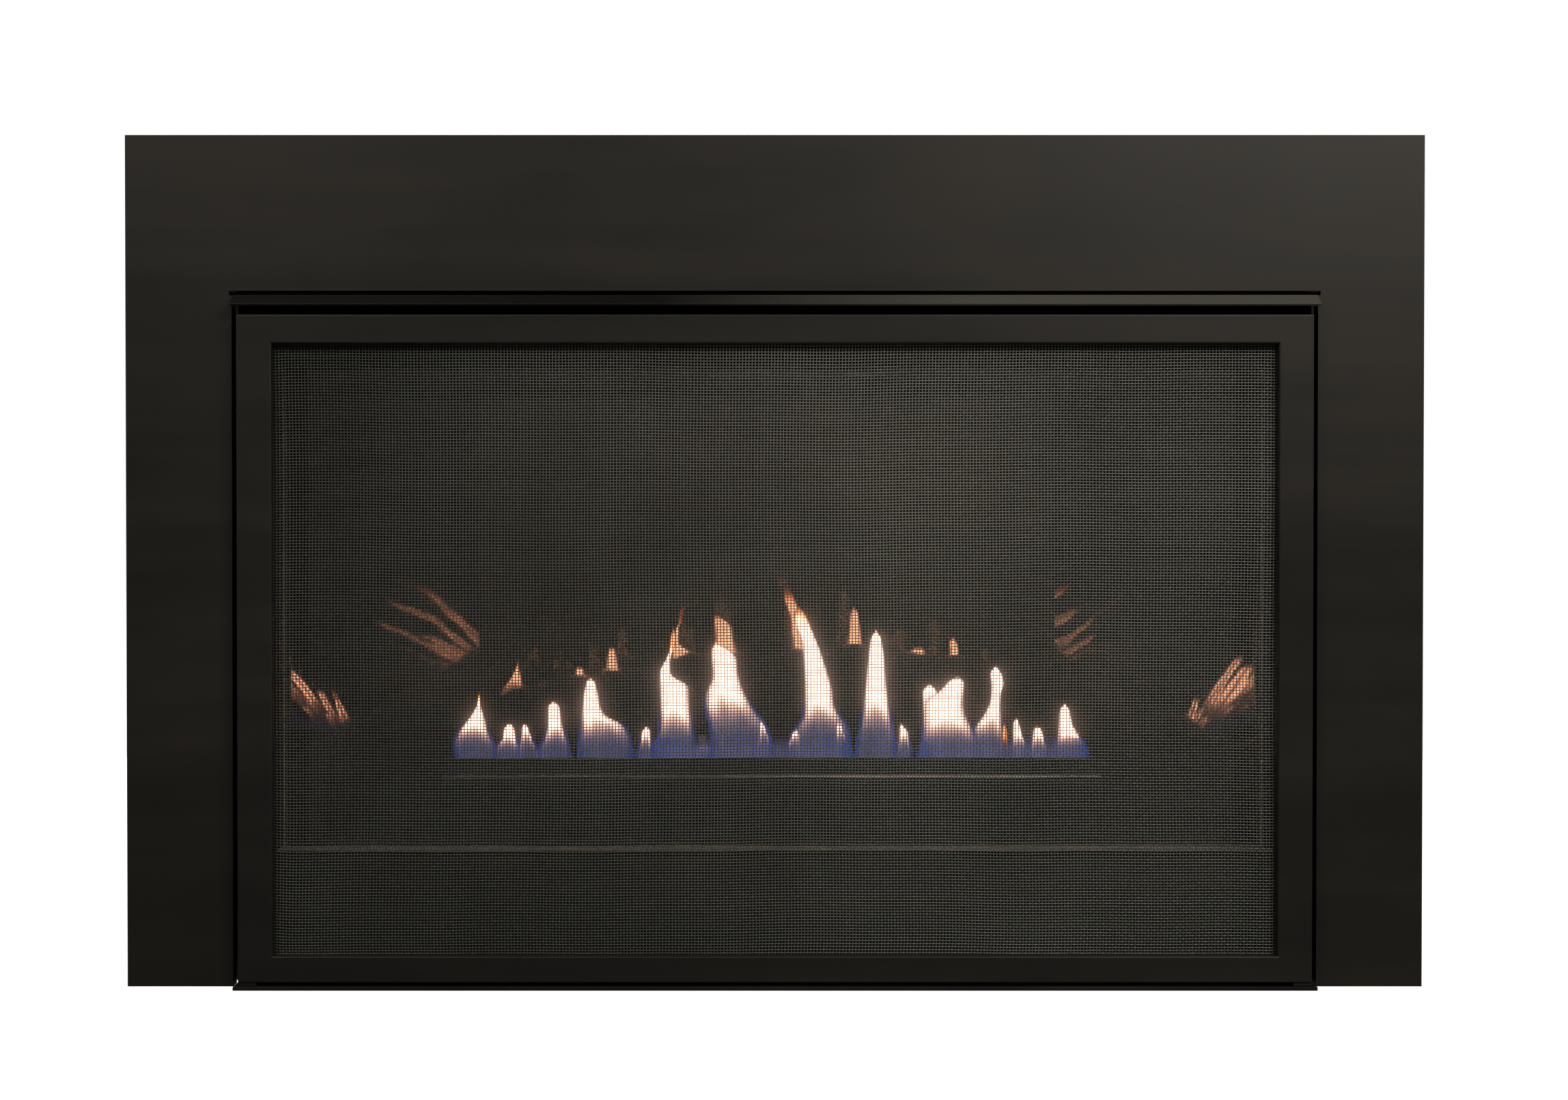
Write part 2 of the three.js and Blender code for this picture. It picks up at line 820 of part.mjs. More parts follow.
// Glass latches: levers under the firebox floor that hook up behind the glass frame's lower edge
function makeLatch(name, x) {
  const hookTop = glassBottom - glassFlange - fit - latchPivotZ;
  const hookBack = paneFront - latchHook / 2 - latchPivotY;
  const hookFront = hookBack - latchHook;
  const half = latchWidth / 2;
  const armLow = -latchArm / 2;
  const arm = block(-half, half, hookFront, latchArm / 2, armLow, -armLow);
  const hook = block(-half, half, hookFront, hookBack, armLow, hookTop);
  const tab = block(-half, half, hookFront, hookFront + latchHook / 2, -latchTab, armLow + sheet);
  const pinHalf = half + fit + sheet;
  const pin = rodX(latchPinRadius, -pinHalf, pinHalf);
  return placed(x, latchPivotY, latchPivotZ, part(name, join(arm, hook, tab, pin), galvanised));
}

// Burner: raised platform, port tray with its front ledge, mixing tube with its air shutter, and
// the injector

function makePlatform() {
  const rim = fit * splayStretch;
  const back = fireboxBack - fit;
  const plan = [
    [-fireboxHalfAt(platformFront) + rim, platformFront],
    [fireboxHalfAt(platformFront) - rim, platformFront],
    [fireboxHalfAt(back) - rim, back],
    [-fireboxHalfAt(back) + rim, back],
  ];
  const low = floorHeight + fit;
  const skirtHalf = fireboxHalfAt(platformFront + sheet) - rim;
  const skirt = block(-skirtHalf, skirtHalf, platformFront, platformFront + sheet, low, platformTop);
  const webs = [-platformWeb, platformWeb].map((x) => {
    return block(x - sheet / 2, x + sheet / 2, platformFront, burnerFront, low, platformTop - sheet / 2);
  });
  const rearHalf = fireboxHalfAt(back) - rim;
  const rear = [-rearHalf, rearHalf - 2 * platformHeight].map((x) => {
    return block(x, x + 2 * platformHeight, back - sheet, back, low, platformTop - sheet / 2);
  });
  const top = alongZ(plan, platformTop - sheet, platformTop);
  const tubeHole = rodZ(tubeRadius + fit, low, platformTop + overrun, 0, burnerMiddle);
  return part('burner_platform', cut(join(top, skirt, ...webs, ...rear), tubeHole), blackSteel);
}

function makeBurnerTray() {
  const half = burnerWidth / 2;
  const low = platformTop + fit;
  const high = low + burnerRise;
  const deckTop = high - burnerLip;
  const deckLow = low + burnerSeat;
  const back = burnerFront + burnerDepth;
  const lipFront = platformFront - fit - lightSheet;
  const ledgeTop = low + lightSheet;
  const ledge = join(
    block(-half, half, burnerFront, back, low, high),
    block(-half, half, lipFront, burnerFront + sheet, low, ledgeTop),
    block(-half, half, lipFront, lipFront + lightSheet, ledgeTop - burnerLedgeDrop, ledgeTop),
  );
  const inside = (bottom, top) => {
    return block(-half + sheet, half - sheet, burnerFront + sheet, back - sheet, bottom, top);
  };
  const pitch = (burnerWidth - 2 * sheet) / portColumns;
  const slots = [];
  for (const row of [-portRowGap / 2, portRowGap / 2]) {
    for (let column = 0; column < portColumns; column += 1) {
      const x = -half + sheet + (column + 0.5) * pitch;
      const y = burnerMiddle + row;
      slots.push(rectangle(x - portLength / 2, x + portLength / 2, y - portWidth / 2, y + portWidth / 2));
    }
  }
  const ports = slots.map((slot) => alongZ(slot, deckLow - sheet, deckTop + sheet));
  const tray = cut(ledge, inside(deckTop, high + overrun), inside(low - overrun, deckLow), ...ports);
  return part('burner_tray', tray, blackSteel);
}

function windowCuts(left, radius) {
  const cuts = [];
  for (const side of [-1, 1]) {
    const reach = radius + overrun;
    const edges = [0, side * reach].sort((a, b) => a - b);
    cuts.push(block(left, left + windowLength, edges[0], edges[1], -windowWidth / 2, windowWidth / 2));
    cuts.push(block(left, left + windowLength, -windowWidth / 2, windowWidth / 2, edges[0], edges[1]));
  }
  return cuts;
}

function makeMixingTube() {
  const bore = tubeRadius - lightSheet;
  const rise = platformTop + burnerSeat - tubeAxis;
  const windows = windowCuts(-tubeLength + sheet * 2, tubeRadius);
  const tube = cut(
    join(rodX(tubeRadius, -tubeLength, tubeRadius), rodZ(tubeRadius, 0, rise)),
    rodX(bore, -tubeLength + sheet, tubeRadius - sheet),
    rodZ(bore, 0, rise + overrun),
    rodX(injectorRadius + fit, -tubeLength - overrun, -tubeLength + overrun),
    ...windows,
  );
  const shutterLeft = -tubeLength + sheet / 2;
  const outer = tubeRadius + fit + lightSheet;
  const lever = block(
    shutterLeft,
    shutterLeft + sheet,
    -sheet,
    sheet,
    -outer - shutterLever / 2,
    -tubeRadius - 2 * fit,
  );
  const shutter = cut(
    join(rodX(outer, shutterLeft, shutterLeft + shutterLength), lever),
    rodX(tubeRadius + fit, shutterLeft - overrun, shutterLeft + shutterLength + overrun),
    ...windowCuts(-tubeLength + sheet * 2, outer),
  );
  return placed(
    0,
    burnerMiddle,
    tubeAxis,
    part('mixing_tube', tube, stainless),
    part('air_shutter', shutter, galvanised),
  );
}

const injectorFoot = floorHeight - 3 * injectorRadius;

function makeInjector() {
  const half = injectorBody / 2;
  const body = block(-half, half, -half, half, -half, half);
  const nose = rodX(injectorRadius, 0, injectorReach + 2 * sheet);
  const stem = rodZ(injectorRadius, injectorFoot - tubeAxis, 0);
  const injector = part('gas_injector', join(body, nose, stem), brass);
  return placed(injectorX, burnerMiddle, tubeAxis, injector);
}

// Pilot: burner on its plate, with the thermopile and the spark electrode beside it

function makePilot() {
  const half = pilotPlateLength / 2;
  const wide = pilotPlateWidth / 2;
  const foot = fit;
  const plateTop = pilotPlateRise + sheet;
  const plate = block(-half, half, -wide, wide, pilotPlateRise, plateTop);
  const legs = [-half, half - sheet].map((x) => block(x, x + sheet, -wide, wide, foot, plateTop));
  const tube = rodZ(pilotRadius, foot, plateTop + pilotHeight, -pilotSpacing);
  const hood = rodZ(pilotHoodRadius, plateTop + pilotHeight / 2, plateTop + pilotHeight, -pilotSpacing);
  const thermopileHole = rodZ(thermopileRadius + fit, foot, plateTop + overrun);
  const electrodeHole = rodZ(electrodeRadius + fit, foot, plateTop + overrun, pilotSpacing);
  const burner = cut(join(plate, ...legs, tube, hood), thermopileHole, electrodeHole);
  const thermopile = rodZ(thermopileRadius, 2 * fit, plateTop + pilotHeight);
  const electrode = join(
    rodZ(electrodeRadius, 2 * fit, plateTop + pilotHeight / 2, pilotSpacing),
    rodZ(electrodeRadius / 3, plateTop, plateTop + pilotHeight, pilotSpacing, 0, coarseSides),
  );
  return placed(
    -pilotOffset,
    burnerFront + burnerDepth + pilotGap,
    platformTop,
    part('pilot_burner', burner, stainless),
    part('thermopile', thermopile, stainless),
    part('spark_electrode', electrode, whiteCeramic),
  );
}

// Flue: exhaust collar on the firebox top, air collar on the casing top, and the air duct between

function collar(low) {
  return cut(
    join(
      rodZ(collarRadius + collarFlange, low, low + sheet, 0, 0, fineSides),
      rodZ(collarRadius, low, collarTop, 0, 0, fineSides),
    ),
    rodZ(collarRadius - lightSheet, low - overrun, collarTop + overrun, 0, 0, fineSides),
  );
}

function makeDuct() {
  const left = -flueOffset - ductWidth / 2;
  const right = left + ductWidth;
  const front = flueY - ductWidth / 2;
  const near = fireboxEnd + fit;
  const far = near + ductDepth;
  const low = floorHeight + fit;
  const bridge = fireboxTopZ + fit;
  const high = casingCeiling - fit;
  const section = (inset) => [
    [near + inset, low + inset],
    [far - inset, low + inset],
    [far - inset, high - inset],
    [front + inset, high - inset],
    [front + inset, bridge + inset],
    [near + inset, bridge + inset],
  ];
  const duct = cut(
    alongX(section(0), left, right),
    alongX(section(sheet), left + sheet, right - sheet),
    rodZ(collarRadius - lightSheet, bridge + 2 * sheet, high + overrun, -flueOffset, flueY, fineSides),
    block(
      left + 2 * sheet,
      right - 2 * sheet,
      near - overrun,
      near + 2 * sheet,
      floorHeight + airHoleLift,
      floorHeight + airHoleLift + airHoleHeight,
    ),
  );
  return part('intake_duct', duct, galvanised);
}

function makeFlue() {
  return [
    placed(flueOffset, flueY, 0, part('exhaust_collar', collar(fireboxTopZ + fit), stainless)),
    placed(-flueOffset, flueY, 0, part('intake_collar', collar(casingTop + fit), galvanised)),
    makeDuct(),
  ];
}

// Access panel below the glass, with the air intake slot under it
function makeAccessPanel() {
  const half = casingInner - fit;
  const front = faceY + panelRecess;
  const line = [
    [-half, front + panelReturn],
    [-half, front],
    [half, front],
    [half, front + panelReturn],
  ];
  const low = basePlate + intakeSlot;
  return part('access_panel', alongZ(bent(line, sheet), low, glassBottom - panelLap), screenPaint);
}

// Gas controls on an upright plate: valve, knobs, igniter and switch

function knob(radius, shaftFront, shaftBack) {
  const grips = [];
  for (let i = 0; i < knobGrips; i += 1) {
    const angle = (i / knobGrips) * Math.PI * 2;
    const x = Math.cos(angle) * (radius + knobGrip / 2);
    const z = Math.sin(angle) * (radius + knobGrip / 2);
    grips.push(rodY(knobGrip, knobFront - overrun, knobBack - 2 * knobGrip, x, z, coarseSides));
  }
  const skirt = rodY(radius + knobGrip / 3, knobBack - knobGrip, knobBack);
  const body = cut(rodY(radius, knobFront, knobBack), ...grips);
  const pointer = block(-sheet / 2, sheet / 2, knobFront - sheet / 2, knobFront + sheet, 0, radius - sheet);
  if (shaftBack > shaftFront) {
    return join(body, skirt, pointer, rodY(spindleRadius, shaftFront, shaftBack));
  }
  const socket = rodY(spindleRadius + fit, shaftFront, knobBack + overrun);
  return cut(join(body, skirt, pointer), socket);
}

const valveCentre = valveDepth / 2;
const spindleEnd = valveFront + valveCentre / 2;
const pilotKnobX = valveMiddle - knobSpacing / 2;
const flameKnobX = valveMiddle + knobSpacing / 2;
const valveRight = valveMiddle + valveWidth / 2;
const plateRight = plateMiddle + plateWidth / 2;
const buttonX = valveRight + piezoNutRadius + sheet;
const switchX = (buttonX + piezoNutRadius + plateRight) / 2;

function makeControlPlate() {
  const left = plateMiddle - plateWidth / 2;
  const high = baseTop + valveLift + valveHeight + overrun;
  const plate = join(
    block(left, plateRight, plateFront, plateBack, baseTop, high),
    block(left, plateRight, plateFront, plateBack + plateFoot, baseTop, baseTop + sheet),
  );
  const through = [plateFront - overrun, plateBack + overrun];
  return part('control_plate', cut(
    plate,
    rodY(spindleRadius + 2 * fit, ...through, pilotKnobX, knobHeight),
    rodY(spindleRadius + 2 * fit, ...through, flameKnobX, knobHeight),
    rodY(piezoRadius + fit, ...through, buttonX, knobHeight),
    block(
      switchX - switchWidth / 2 - fit,
      switchX + switchWidth / 2 + fit,
      ...through,
      knobHeight - switchHeight / 2 - fit,
      knobHeight + switchHeight / 2 + fit,
    ),
  ), galvanised);
}

function makeValve() {
  const half = valveWidth / 2;
  const low = baseTop + valveLift;
  const high = low + valveHeight;
  const back = valveFront + valveDepth;
  const bodyLow = low + sheet;
  const body = block(-half, half, valveFront, back, bodyLow, high);
  const foot = block(-half / 2, half / 2, plateBack + plateFoot + fit, back, baseTop, bodyLow + sheet);
  const dome = rodZ(valveDepth / 3, bodyLow - overrun, high, half / 3, valveFront + valveCentre);
  const boreEnd = spindleEnd + spindleTravel + fit;
  const bores = [pilotKnobX, flameKnobX].map((x) => {
    return rodY(spindleRadius + fit, valveFront - overrun, boreEnd, x - valveMiddle, knobHeight);
  });
  const valve = cut(join(body, foot, dome), ...bores);
  return placed(valveMiddle, 0, 0, part('gas_valve', valve, castAluminium));
}

function makeKnobs() {
  const socketFront = knobFront + knobLength / 3;
  const spindle = rodY(spindleRadius, socketFront + fit, spindleEnd);
  return [
    placed(
      pilotKnobX,
      0,
      knobHeight,
      part('pilot_spindle', spindle, brass),
      part('pilot_knob', knob(pilotKnobRadius, socketFront, socketFront), blackPlastic),
    ),
    placed(
      flameKnobX,
      0,
      knobHeight,
      part('flame_knob', knob(flameKnobRadius, knobBack - sheet, spindleEnd), blackPlastic),
    ),
  ];
}

function makeIgniter() {
  const nutFront = plateFront - fit - piezoNut;
  const buttonEnd = plateBack + piezoLength / 3;
  const body = cut(
    join(
      rodY(piezoRadius, nutFront, plateBack + piezoLength),
      rodY(piezoNutRadius, nutFront, nutFront + piezoNut, 0, 0, hexagonSides),
    ),
    rodY(piezoButtonRadius + fit, nutFront - overrun, buttonEnd + piezoTravel + fit),
  );
  const button = rodY(piezoButtonRadius, nutFront - piezoTravel - piezoReach, buttonEnd);
  return placed(
    buttonX,
    0,
    knobHeight,
    part('piezo_igniter', body, blackPlastic),
    part('piezo_button', button, redPlastic),
  );
}

function makeSwitch() {
  const halfX = switchWidth / 2;
  const halfZ = switchHeight / 2;
  const bezelBack = plateFront - fit;
  const bezelFront = bezelBack - switchBezel;
  const pivotY = bezelBack + sheet;
  const pinRadius = sheet / 2;
  const wall = lightSheet;
  const boxed = (grow, front, back) => {
    return block(-halfX - grow, halfX + grow, front, back, -halfZ - grow, halfZ + grow);
  };
  const housing = cut(
    join(boxed(switchBezel, bezelFront, bezelBack), boxed(0, bezelFront, bezelFront + switchDepth)),
    boxed(-wall, bezelFront - overrun, bezelFront + switchDepth - wall),
    rodX(pinRadius + fit, -halfX - overrun, halfX + overrun, pivotY, 0, coarseSides),
  );
  const paddle = switchBezel + 2 * sheet;
  const paddleHalf = halfZ - wall - sheet / 2;
  const outline = [
    [-paddle, -paddleHalf],
    [-paddle + sheet, 0],
    [-paddle, paddleHalf],
    [sheet, paddleHalf - sheet],
    [sheet, sheet - paddleHalf],
  ];
  const width = halfX - wall - fit;
  const rocker = join(alongX(outline, -width, width), rodX(pinRadius, -halfX, halfX, 0, 0, coarseSides));
  const tilted = part('rocker_switch', rocker, blackPlastic);
  tilted.position.set(0, pivotY, 0);
  tilted.rotation.set(THREE.MathUtils.degToRad(-switchSwing), 0, 0);
  return placed(switchX, 0, knobHeight, part('rocker_housing', housing, blackPlastic), tilted);
}

// Gas line: shut-off valve in the casing's left side, flexible link to the valve, tube to the injector

const nippleEnd = -casingHalfAt(gasLineY) - nippleReach;
const shutoffLeft = -casingHalfAt(gasLineY + shutoffRadius) + sheet * taperStretch + fit;
const shutoffRight = shutoffLeft + shutoffLength;
const shutoffMiddle = shutoffRight - shutoffLength / 2;

function makeShutoff() {
  const bossHeight = shutoffRadius + overrun;
  const saddle = block(
    shutoffMiddle - shutoffRadius / 2,
    shutoffMiddle + shutoffRadius / 2,
    -shutoffRadius / 2,
    shutoffRadius / 2,
    baseTop - gasLineHeight,
    0,
  );
  const body = cut(
    join(
      rodX(nippleRadius, nippleEnd, shutoffRight),
      rodX(shutoffRadius, shutoffLeft, shutoffRight, 0, 0, coarseSides),
      rodZ(shutoffRadius / 2, 0, bossHeight, shutoffMiddle),
      saddle,
    ),
    rodX(nippleRadius - sheet, nippleEnd - overrun, shutoffLeft),
  );
  const handleLow = bossHeight + fit;
  const hub = rodZ(shutoffRadius / 2 + sheet / 2, 0, handleThickness);
  const lever = block(0, handleLength, -handleWidth / 2, handleWidth / 2, 0, handleThickness);
  const handle = part('shutoff_handle', join(hub, lever), redPlastic);
  handle.position.set(shutoffMiddle, 0, handleLow);
  return placed(0, gasLineY, gasLineHeight, part('shutoff_valve', body, brass), handle);
}

function makeGasTubes() {
  const linkX = (shutoffRight + valveMiddle - valveWidth / 2) / 2;
  const linkY = valveFront + valveCentre;
  const link = pipe([
    [shutoffRight + fit, gasLineY, gasLineHeight],
    [linkX, gasLineY, gasLineHeight],
    [linkX, linkY, gasLineHeight],
    [valveMiddle - valveWidth / 2 - fit, linkY, gasLineHeight],
  ], gasTubeRadius, gasLinkBend);
  const outletY = valveFront + valveDepth + fit;
  const feed = pipe([
    [flameKnobX, outletY, gasLineHeight],
    [flameKnobX, burnerMiddle, gasLineHeight],
    [injectorX, burnerMiddle, gasLineHeight],
    [injectorX, burnerMiddle, injectorFoot - fit],
  ], gasTubeRadius, gasTubeBend);
  return [part('inlet_tube', link, stainless), part('manifold_tube', feed, castAluminium)];
}

// Blower: a cross-flow wheel in a scroll housing, driven by a motor at its right end

function makeBlower() {
  const half = blowerLength / 2;
  const rim = blowerRadius;
  const shell = rim + blowerGap;
  const low = baseTop - blowerHeight;
  const line = [
    [shell, shell],
    [shell, -shell / 2],
    [shell / 2, -shell],
    [-shell / 2, -shell],
    [-shell, -shell / 2],
  ];
  const endLeft = -half - fit - sheet;
  const endRight = half + fit;
  const plates = [endLeft, endRight].map((x) => {
    return block(x, x + sheet, -shell - sheet, shell + sheet, low, shell);
  });
  const scroll = alongX(bent(line, -sheet), endLeft, endRight + sheet);
  const bores = plates.map((plate, i) => {
    const x = [endLeft, endRight][i];
    return rodX(shaftRadius + fit, x - overrun, x + sheet + overrun);
  });
  const housing = part('blower_housing', cut(join(scroll, ...plates), ...bores), galvanised);
  const discs = [-half, -sheet / 2, half - sheet].map((x) => rodX(rim, x, x + sheet));
  const blades = [];
  for (let i = 0; i < blowerBlades; i += 1) {
    const blade = block(-half, half, rim - bladeDepth, rim - sheet / 2, -sheet / 2, sheet / 2);
    blades.push(blade.rotateX((i / blowerBlades) * Math.PI * 2));
  }
  const shaftEnd = endRight + sheet + 4 * shaftRadius;
  const shaft = rodX(shaftRadius, endLeft - sheet, shaftEnd);
  const wheel = part('blower_wheel', join(...discs, ...blades, shaft), galvanised);
  const motorLeft = endRight + sheet + fit;
  const motorBody = join(
    rodX(motorRadius, motorLeft, motorLeft + motorLength),
    block(motorLeft, motorLeft + motorLength, -motorRadius / 2, motorRadius / 2, low, 0),
  );
  const bore = rodX(shaftRadius + fit, motorLeft - overrun, shaftEnd + fit);
  const motor = part('blower_motor', cut(motorBody, bore), blackSteel);
  return placed(blowerOffset, casingDepth - blowerInset, blowerHeight, housing, wheel, motor);
}

// Power inlet in the casing's back, with blades for a lead's connector
function makePowerInlet() {
  const half = inletWidth / 2;
  const tall = inletTall / 2;
  const flangeFront = casingDepth + fit;
  const flangeBack = flangeFront + sheet;
  const recessFront = flangeBack - inletRecess;
  const boxed = (grow, front, back) => {
    return block(-half - grow, half + grow, front, back, -tall - grow, tall + grow);
  };
  const shell = cut(
    join(boxed(0, flangeBack - inletDepth, flangeBack), boxed(inletFlange, flangeFront, flangeBack)),
    boxed(-inletWall, recessFront, flangeBack + overrun),
  );
  const blades = [-half / 2, 0, half / 2].map((x) => {
    return block(x - sheet / 2, x + sheet / 2, recessFront - sheet / 2, flangeBack - sheet, -sheet, sheet);
  });
  return placed(inletOffset, 0, inletHeight, part('power_inlet', join(shell, ...blades), blackPlastic));
}

const group = new THREE.Group();
group.name = 'gas_fireplace_insert';
group.add(
  makeBase(),
  makeLevellingBolt('levelling_bolt_left', -boltOffset),
  makeLevellingBolt('levelling_bolt_right', boltOffset),
  ...makeCasing(),
  makeSurround(),
  ...makeBrackets(),
  makeHood(),
  makeScreen(),
  ...makeGlassFront(),
  ...makeFirebox(),
  makeReliefDoor(),
  makeLatch('glass_latch_left', -latchOffset),
  makeLatch('glass_latch_right', latchOffset),
  makePlatform(),
  makeBurnerTray(),
  makeMixingTube(),
  makeInjector(),
  makePilot(),
  ...makeFlue(),
  makeAccessPanel(),
  makeControlPlate(),
  makeValve(),
  ...makeKnobs(),
  makeIgniter(),
  makeSwitch(),
  makeShutoff(),
  ...makeGasTubes(),
  makeBlower(),
  makePowerInlet(),
);

export default group;
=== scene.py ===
"""The looks of a gas fireplace insert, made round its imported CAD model. Metres, +Z up."""

import json
import math

import bpy
import numpy as np
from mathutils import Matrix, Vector


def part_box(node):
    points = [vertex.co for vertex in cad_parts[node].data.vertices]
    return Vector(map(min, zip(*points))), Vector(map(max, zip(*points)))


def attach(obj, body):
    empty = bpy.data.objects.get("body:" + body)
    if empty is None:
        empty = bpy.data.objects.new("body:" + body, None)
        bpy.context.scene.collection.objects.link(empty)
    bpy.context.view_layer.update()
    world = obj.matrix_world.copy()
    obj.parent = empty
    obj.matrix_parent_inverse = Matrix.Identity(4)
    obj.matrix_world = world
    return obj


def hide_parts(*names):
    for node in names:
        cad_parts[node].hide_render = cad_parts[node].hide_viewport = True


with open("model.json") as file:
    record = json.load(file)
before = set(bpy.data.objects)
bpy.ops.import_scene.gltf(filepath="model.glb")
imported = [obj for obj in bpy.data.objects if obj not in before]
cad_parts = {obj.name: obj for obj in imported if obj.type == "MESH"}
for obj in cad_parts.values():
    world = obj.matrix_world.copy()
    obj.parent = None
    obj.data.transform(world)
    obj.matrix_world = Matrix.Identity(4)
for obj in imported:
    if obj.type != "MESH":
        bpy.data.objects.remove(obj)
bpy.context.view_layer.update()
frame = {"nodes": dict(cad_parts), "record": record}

# The photograph's frame and camera
PHOTO_WIDTH = 2296
PHOTO_HEIGHT = 1611
SENSOR = 36.0
FOCAL_PIXELS = 3049.0
AXIS_COLUMN = 1062.4
HORIZON_ROW = 770.0
CAMERA_X = -0.039
CAMERA_Y = -1.670
CAMERA_Z = 0.366
CLIP_NEAR = 0.05
CLIP_FAR = 60.0

# Rounded edges; the nodes named here have wider ones
EDGE_WIDTH = 0.0004
EDGE_WIDTHS = {"liner_left": 0.0012, "liner_right": 0.0012, "burner_tray": 0.0008}
EDGE_ANGLE = 30.0
EDGE_SEGMENTS = 2
WELD_REACH = 0.00002

# Safety screen
FRAME_SHEET = 0.0012
FRAME_BEND = 0.0016
FRAME_RETURN = 0.0075
FRAME_BEND_STEPS = 5
FRAME_EDGE = 0.0003
FRAME_EDGE_ANGLE = 40.0
FOOT_WIDTH = 0.0145
WIRE_PITCH_X = 0.00254
WIRE_PITCH_Z = 0.00231
WIRE_RADIUS = 0.00037
WIRE_CRIMP = 0.00041
CLOTH_PIECES = 3
CLOTH_HELD = 0.03
CLOTH_WAVE = 0.0011
RETAINER_WIDTH = 0.0115
RETAINER_OVERLAP = 0.001
RETAINER_SHEET = 0.0012
RETAINER_EDGE = 0.0002

# The cloth's drift as waves: share, radians per metre up and across, and phase
WAVES_SIDEWAYS = ((0.6, 9.0, 5.0, 0.7), (0.4, 23.0, -7.0, 2.1))
WAVES_UPWARD = ((0.7, -6.0, 8.0, 1.3), (0.35, 9.0, 21.0, 0.0), (0.2, 3.0, 55.0, 0.4))

# Paints. Painted light along a coordinate is given as from, to, start and end
SURROUND_TONE = (0.0108, 0.0101, 0.0086)
SCREEN_TONE = (0.0100, 0.0095, 0.0083)
HOOD_TONE = (0.0036, 0.0033, 0.0028)
# The hood's painted light: its tone turns lighter towards the right, up to the given tone
HOOD_PAINTED_LIGHT = ((0.0, 1.0, -0.09, 0.16), (0.046, 0.044, 0.038))
PAINT_BROWNING = (1.36, 1.26, 1.16)
PAINT_GLOSS = 0.30
HOOD_GLOSS = 0.35
WIRE_TONES = ((0.078, 0.081, 0.073), (0.192, 0.201, 0.183), (0.330, 0.346, 0.316))
# The wire's painted light: rising, then falling along X, and rising upwards
WIRE_LIGHT_RISE = (0.14, 0.80, -0.34, 0.08)
WIRE_LIGHT_FALL = (0.0, 0.30, 0.10, 0.36)
WIRE_LIGHT_UPWARD = (0.60, 1.0, 0.10, 0.42)

# Black steel, and painted highlights on its edges: a window along each axis, the painted light
# along X, and the highlight tone
STEEL_TONES = ((0.0050, 0.0048, 0.0044), (0.0075, 0.0068, 0.0060), (0.0120, 0.0100, 0.0080))
TRAY_PAINTED_HIGHLIGHT = (
    {"Y": (0.0, 0.01, 0.0926, 0.0934), "Z": (0.1528, 0.1536, 0.2000, 0.2100)},
    (0.36, 1.0, -0.03, 0.02),
    (0.90, 0.86, 0.78),
)
GLASS_FRAME_PAINTED_HIGHLIGHT = (
    {"Z": (0.1022, 0.1027, 0.1033, 0.1038)},
    (0.8, 1.0, -0.4, 0.3),
    (0.24, 0.23, 0.20),
)
SOOTED = {"gloss": 0.06, "shade": 0.5}

# Enamelled liners: the line below which soot dulls them, their gloss, and their lean and warp
SOOT_LINE = 0.245
SOOT_LINE_SIDE = 0.246
SOOT_SLOPE = 0.28
SOOT_BACK = 0.310
SOOT_FRONT = 0.050
SOOT_FRONT_END = 0.053
SOOT_FALL = 0.42
SOOT_MIDDLE = 0.07
SOOT_FADE = 0.007
SOOT_RAGGED = 0.006
SOOT_TINT = (0.10, 0.08, 0.07)
ENAMEL_TONES = ((0.0045, 0.0040, 0.0036), (0.0110, 0.0095, 0.0080))
BACK_TILT = 0.025
BACK_BLUR = 0.02
BACK_TINT = (1.0, 0.68, 0.48)
SIDE_BLUR = 0.045
SIDE_TINT = (0.86, 0.50, 0.32)
SIDE_WARP = 1.6
WARP_HEIGHT = 0.275
LINER_TAPER = 0.484

# Black painted shade on the casing, seen in the air slot: a point inside it, and how far the
# painted shade reaches from the front
CASING_MIDDLE = (0.0, 0.2, 0.3)
PAINTED_SHADE_DEPTH = 0.018
PAINTED_SHADE_HALF = 0.431
PAINTED_SHADE_FADE = 0.002
PAINTED_SHADE_COLOUR = (0.022, 0.022, 0.021, 1.0)

# Screws as reach, height and whether the ring is hexagonal; seams and beads of the casing
SCREW_PROFILE = (
    (0.0046, 0.0, False), (0.0046, 0.0004, False), (0.0042, 0.0007, False), (0.0032, 0.0008, False),
    (0.0032, 0.0008, True), (0.0031, 0.0015, True), (0.0026, 0.0018, True), (0.0019, 0.0018, False),
    (0.0015, 0.0014, False),
)
SCREW_SIDES = 24
SCREW_HALF = 0.39
SEAM_WIDTH = 0.014
SEAM_SHEET = 0.0004
SEAM_INSET = 0.0004
SEAM_FRONT = 0.045
SEALANT_LINE = ((0.4252, -0.0160), (0.4251, 0.0520), (0.3186, 0.3978))
SEALANT_WIDTH = 0.0014
SEALANT_HEIGHT = 0.0016
BEAD_RADIUS = 0.0011
BEAD_STEPS = 72
BEAD_SIDES = 10
BEAD_DROP = 0.012
COLLAR_RADIUS = 0.038
BACKWARD = (0, 1, 0)
UPWARD = (0, 0, 1)

# Stage
FLOOR_RADIUS = 1.9
FLOOR_CORNERS = 96
FLOOR_DROP = 0.0005
FLOOR_GLOW = 0.98
GLOW_THRESHOLD = 1.6
GLOW_SIZE = 0.02
GLOW_STRENGTH = 1.0
WORLD_COLOUR = (1.0, 0.97, 0.92, 1.0)
WORLD_STRENGTH = 0.09
BOUNCE_CLAMP = 3.0
PIXEL_FILTER = 1.5
WHITE = (1.0, 1.0, 1.0, 1.0)
WARM = (1.0, 0.93, 0.83)
NEUTRAL = (1.0, 1.0, 1.0)

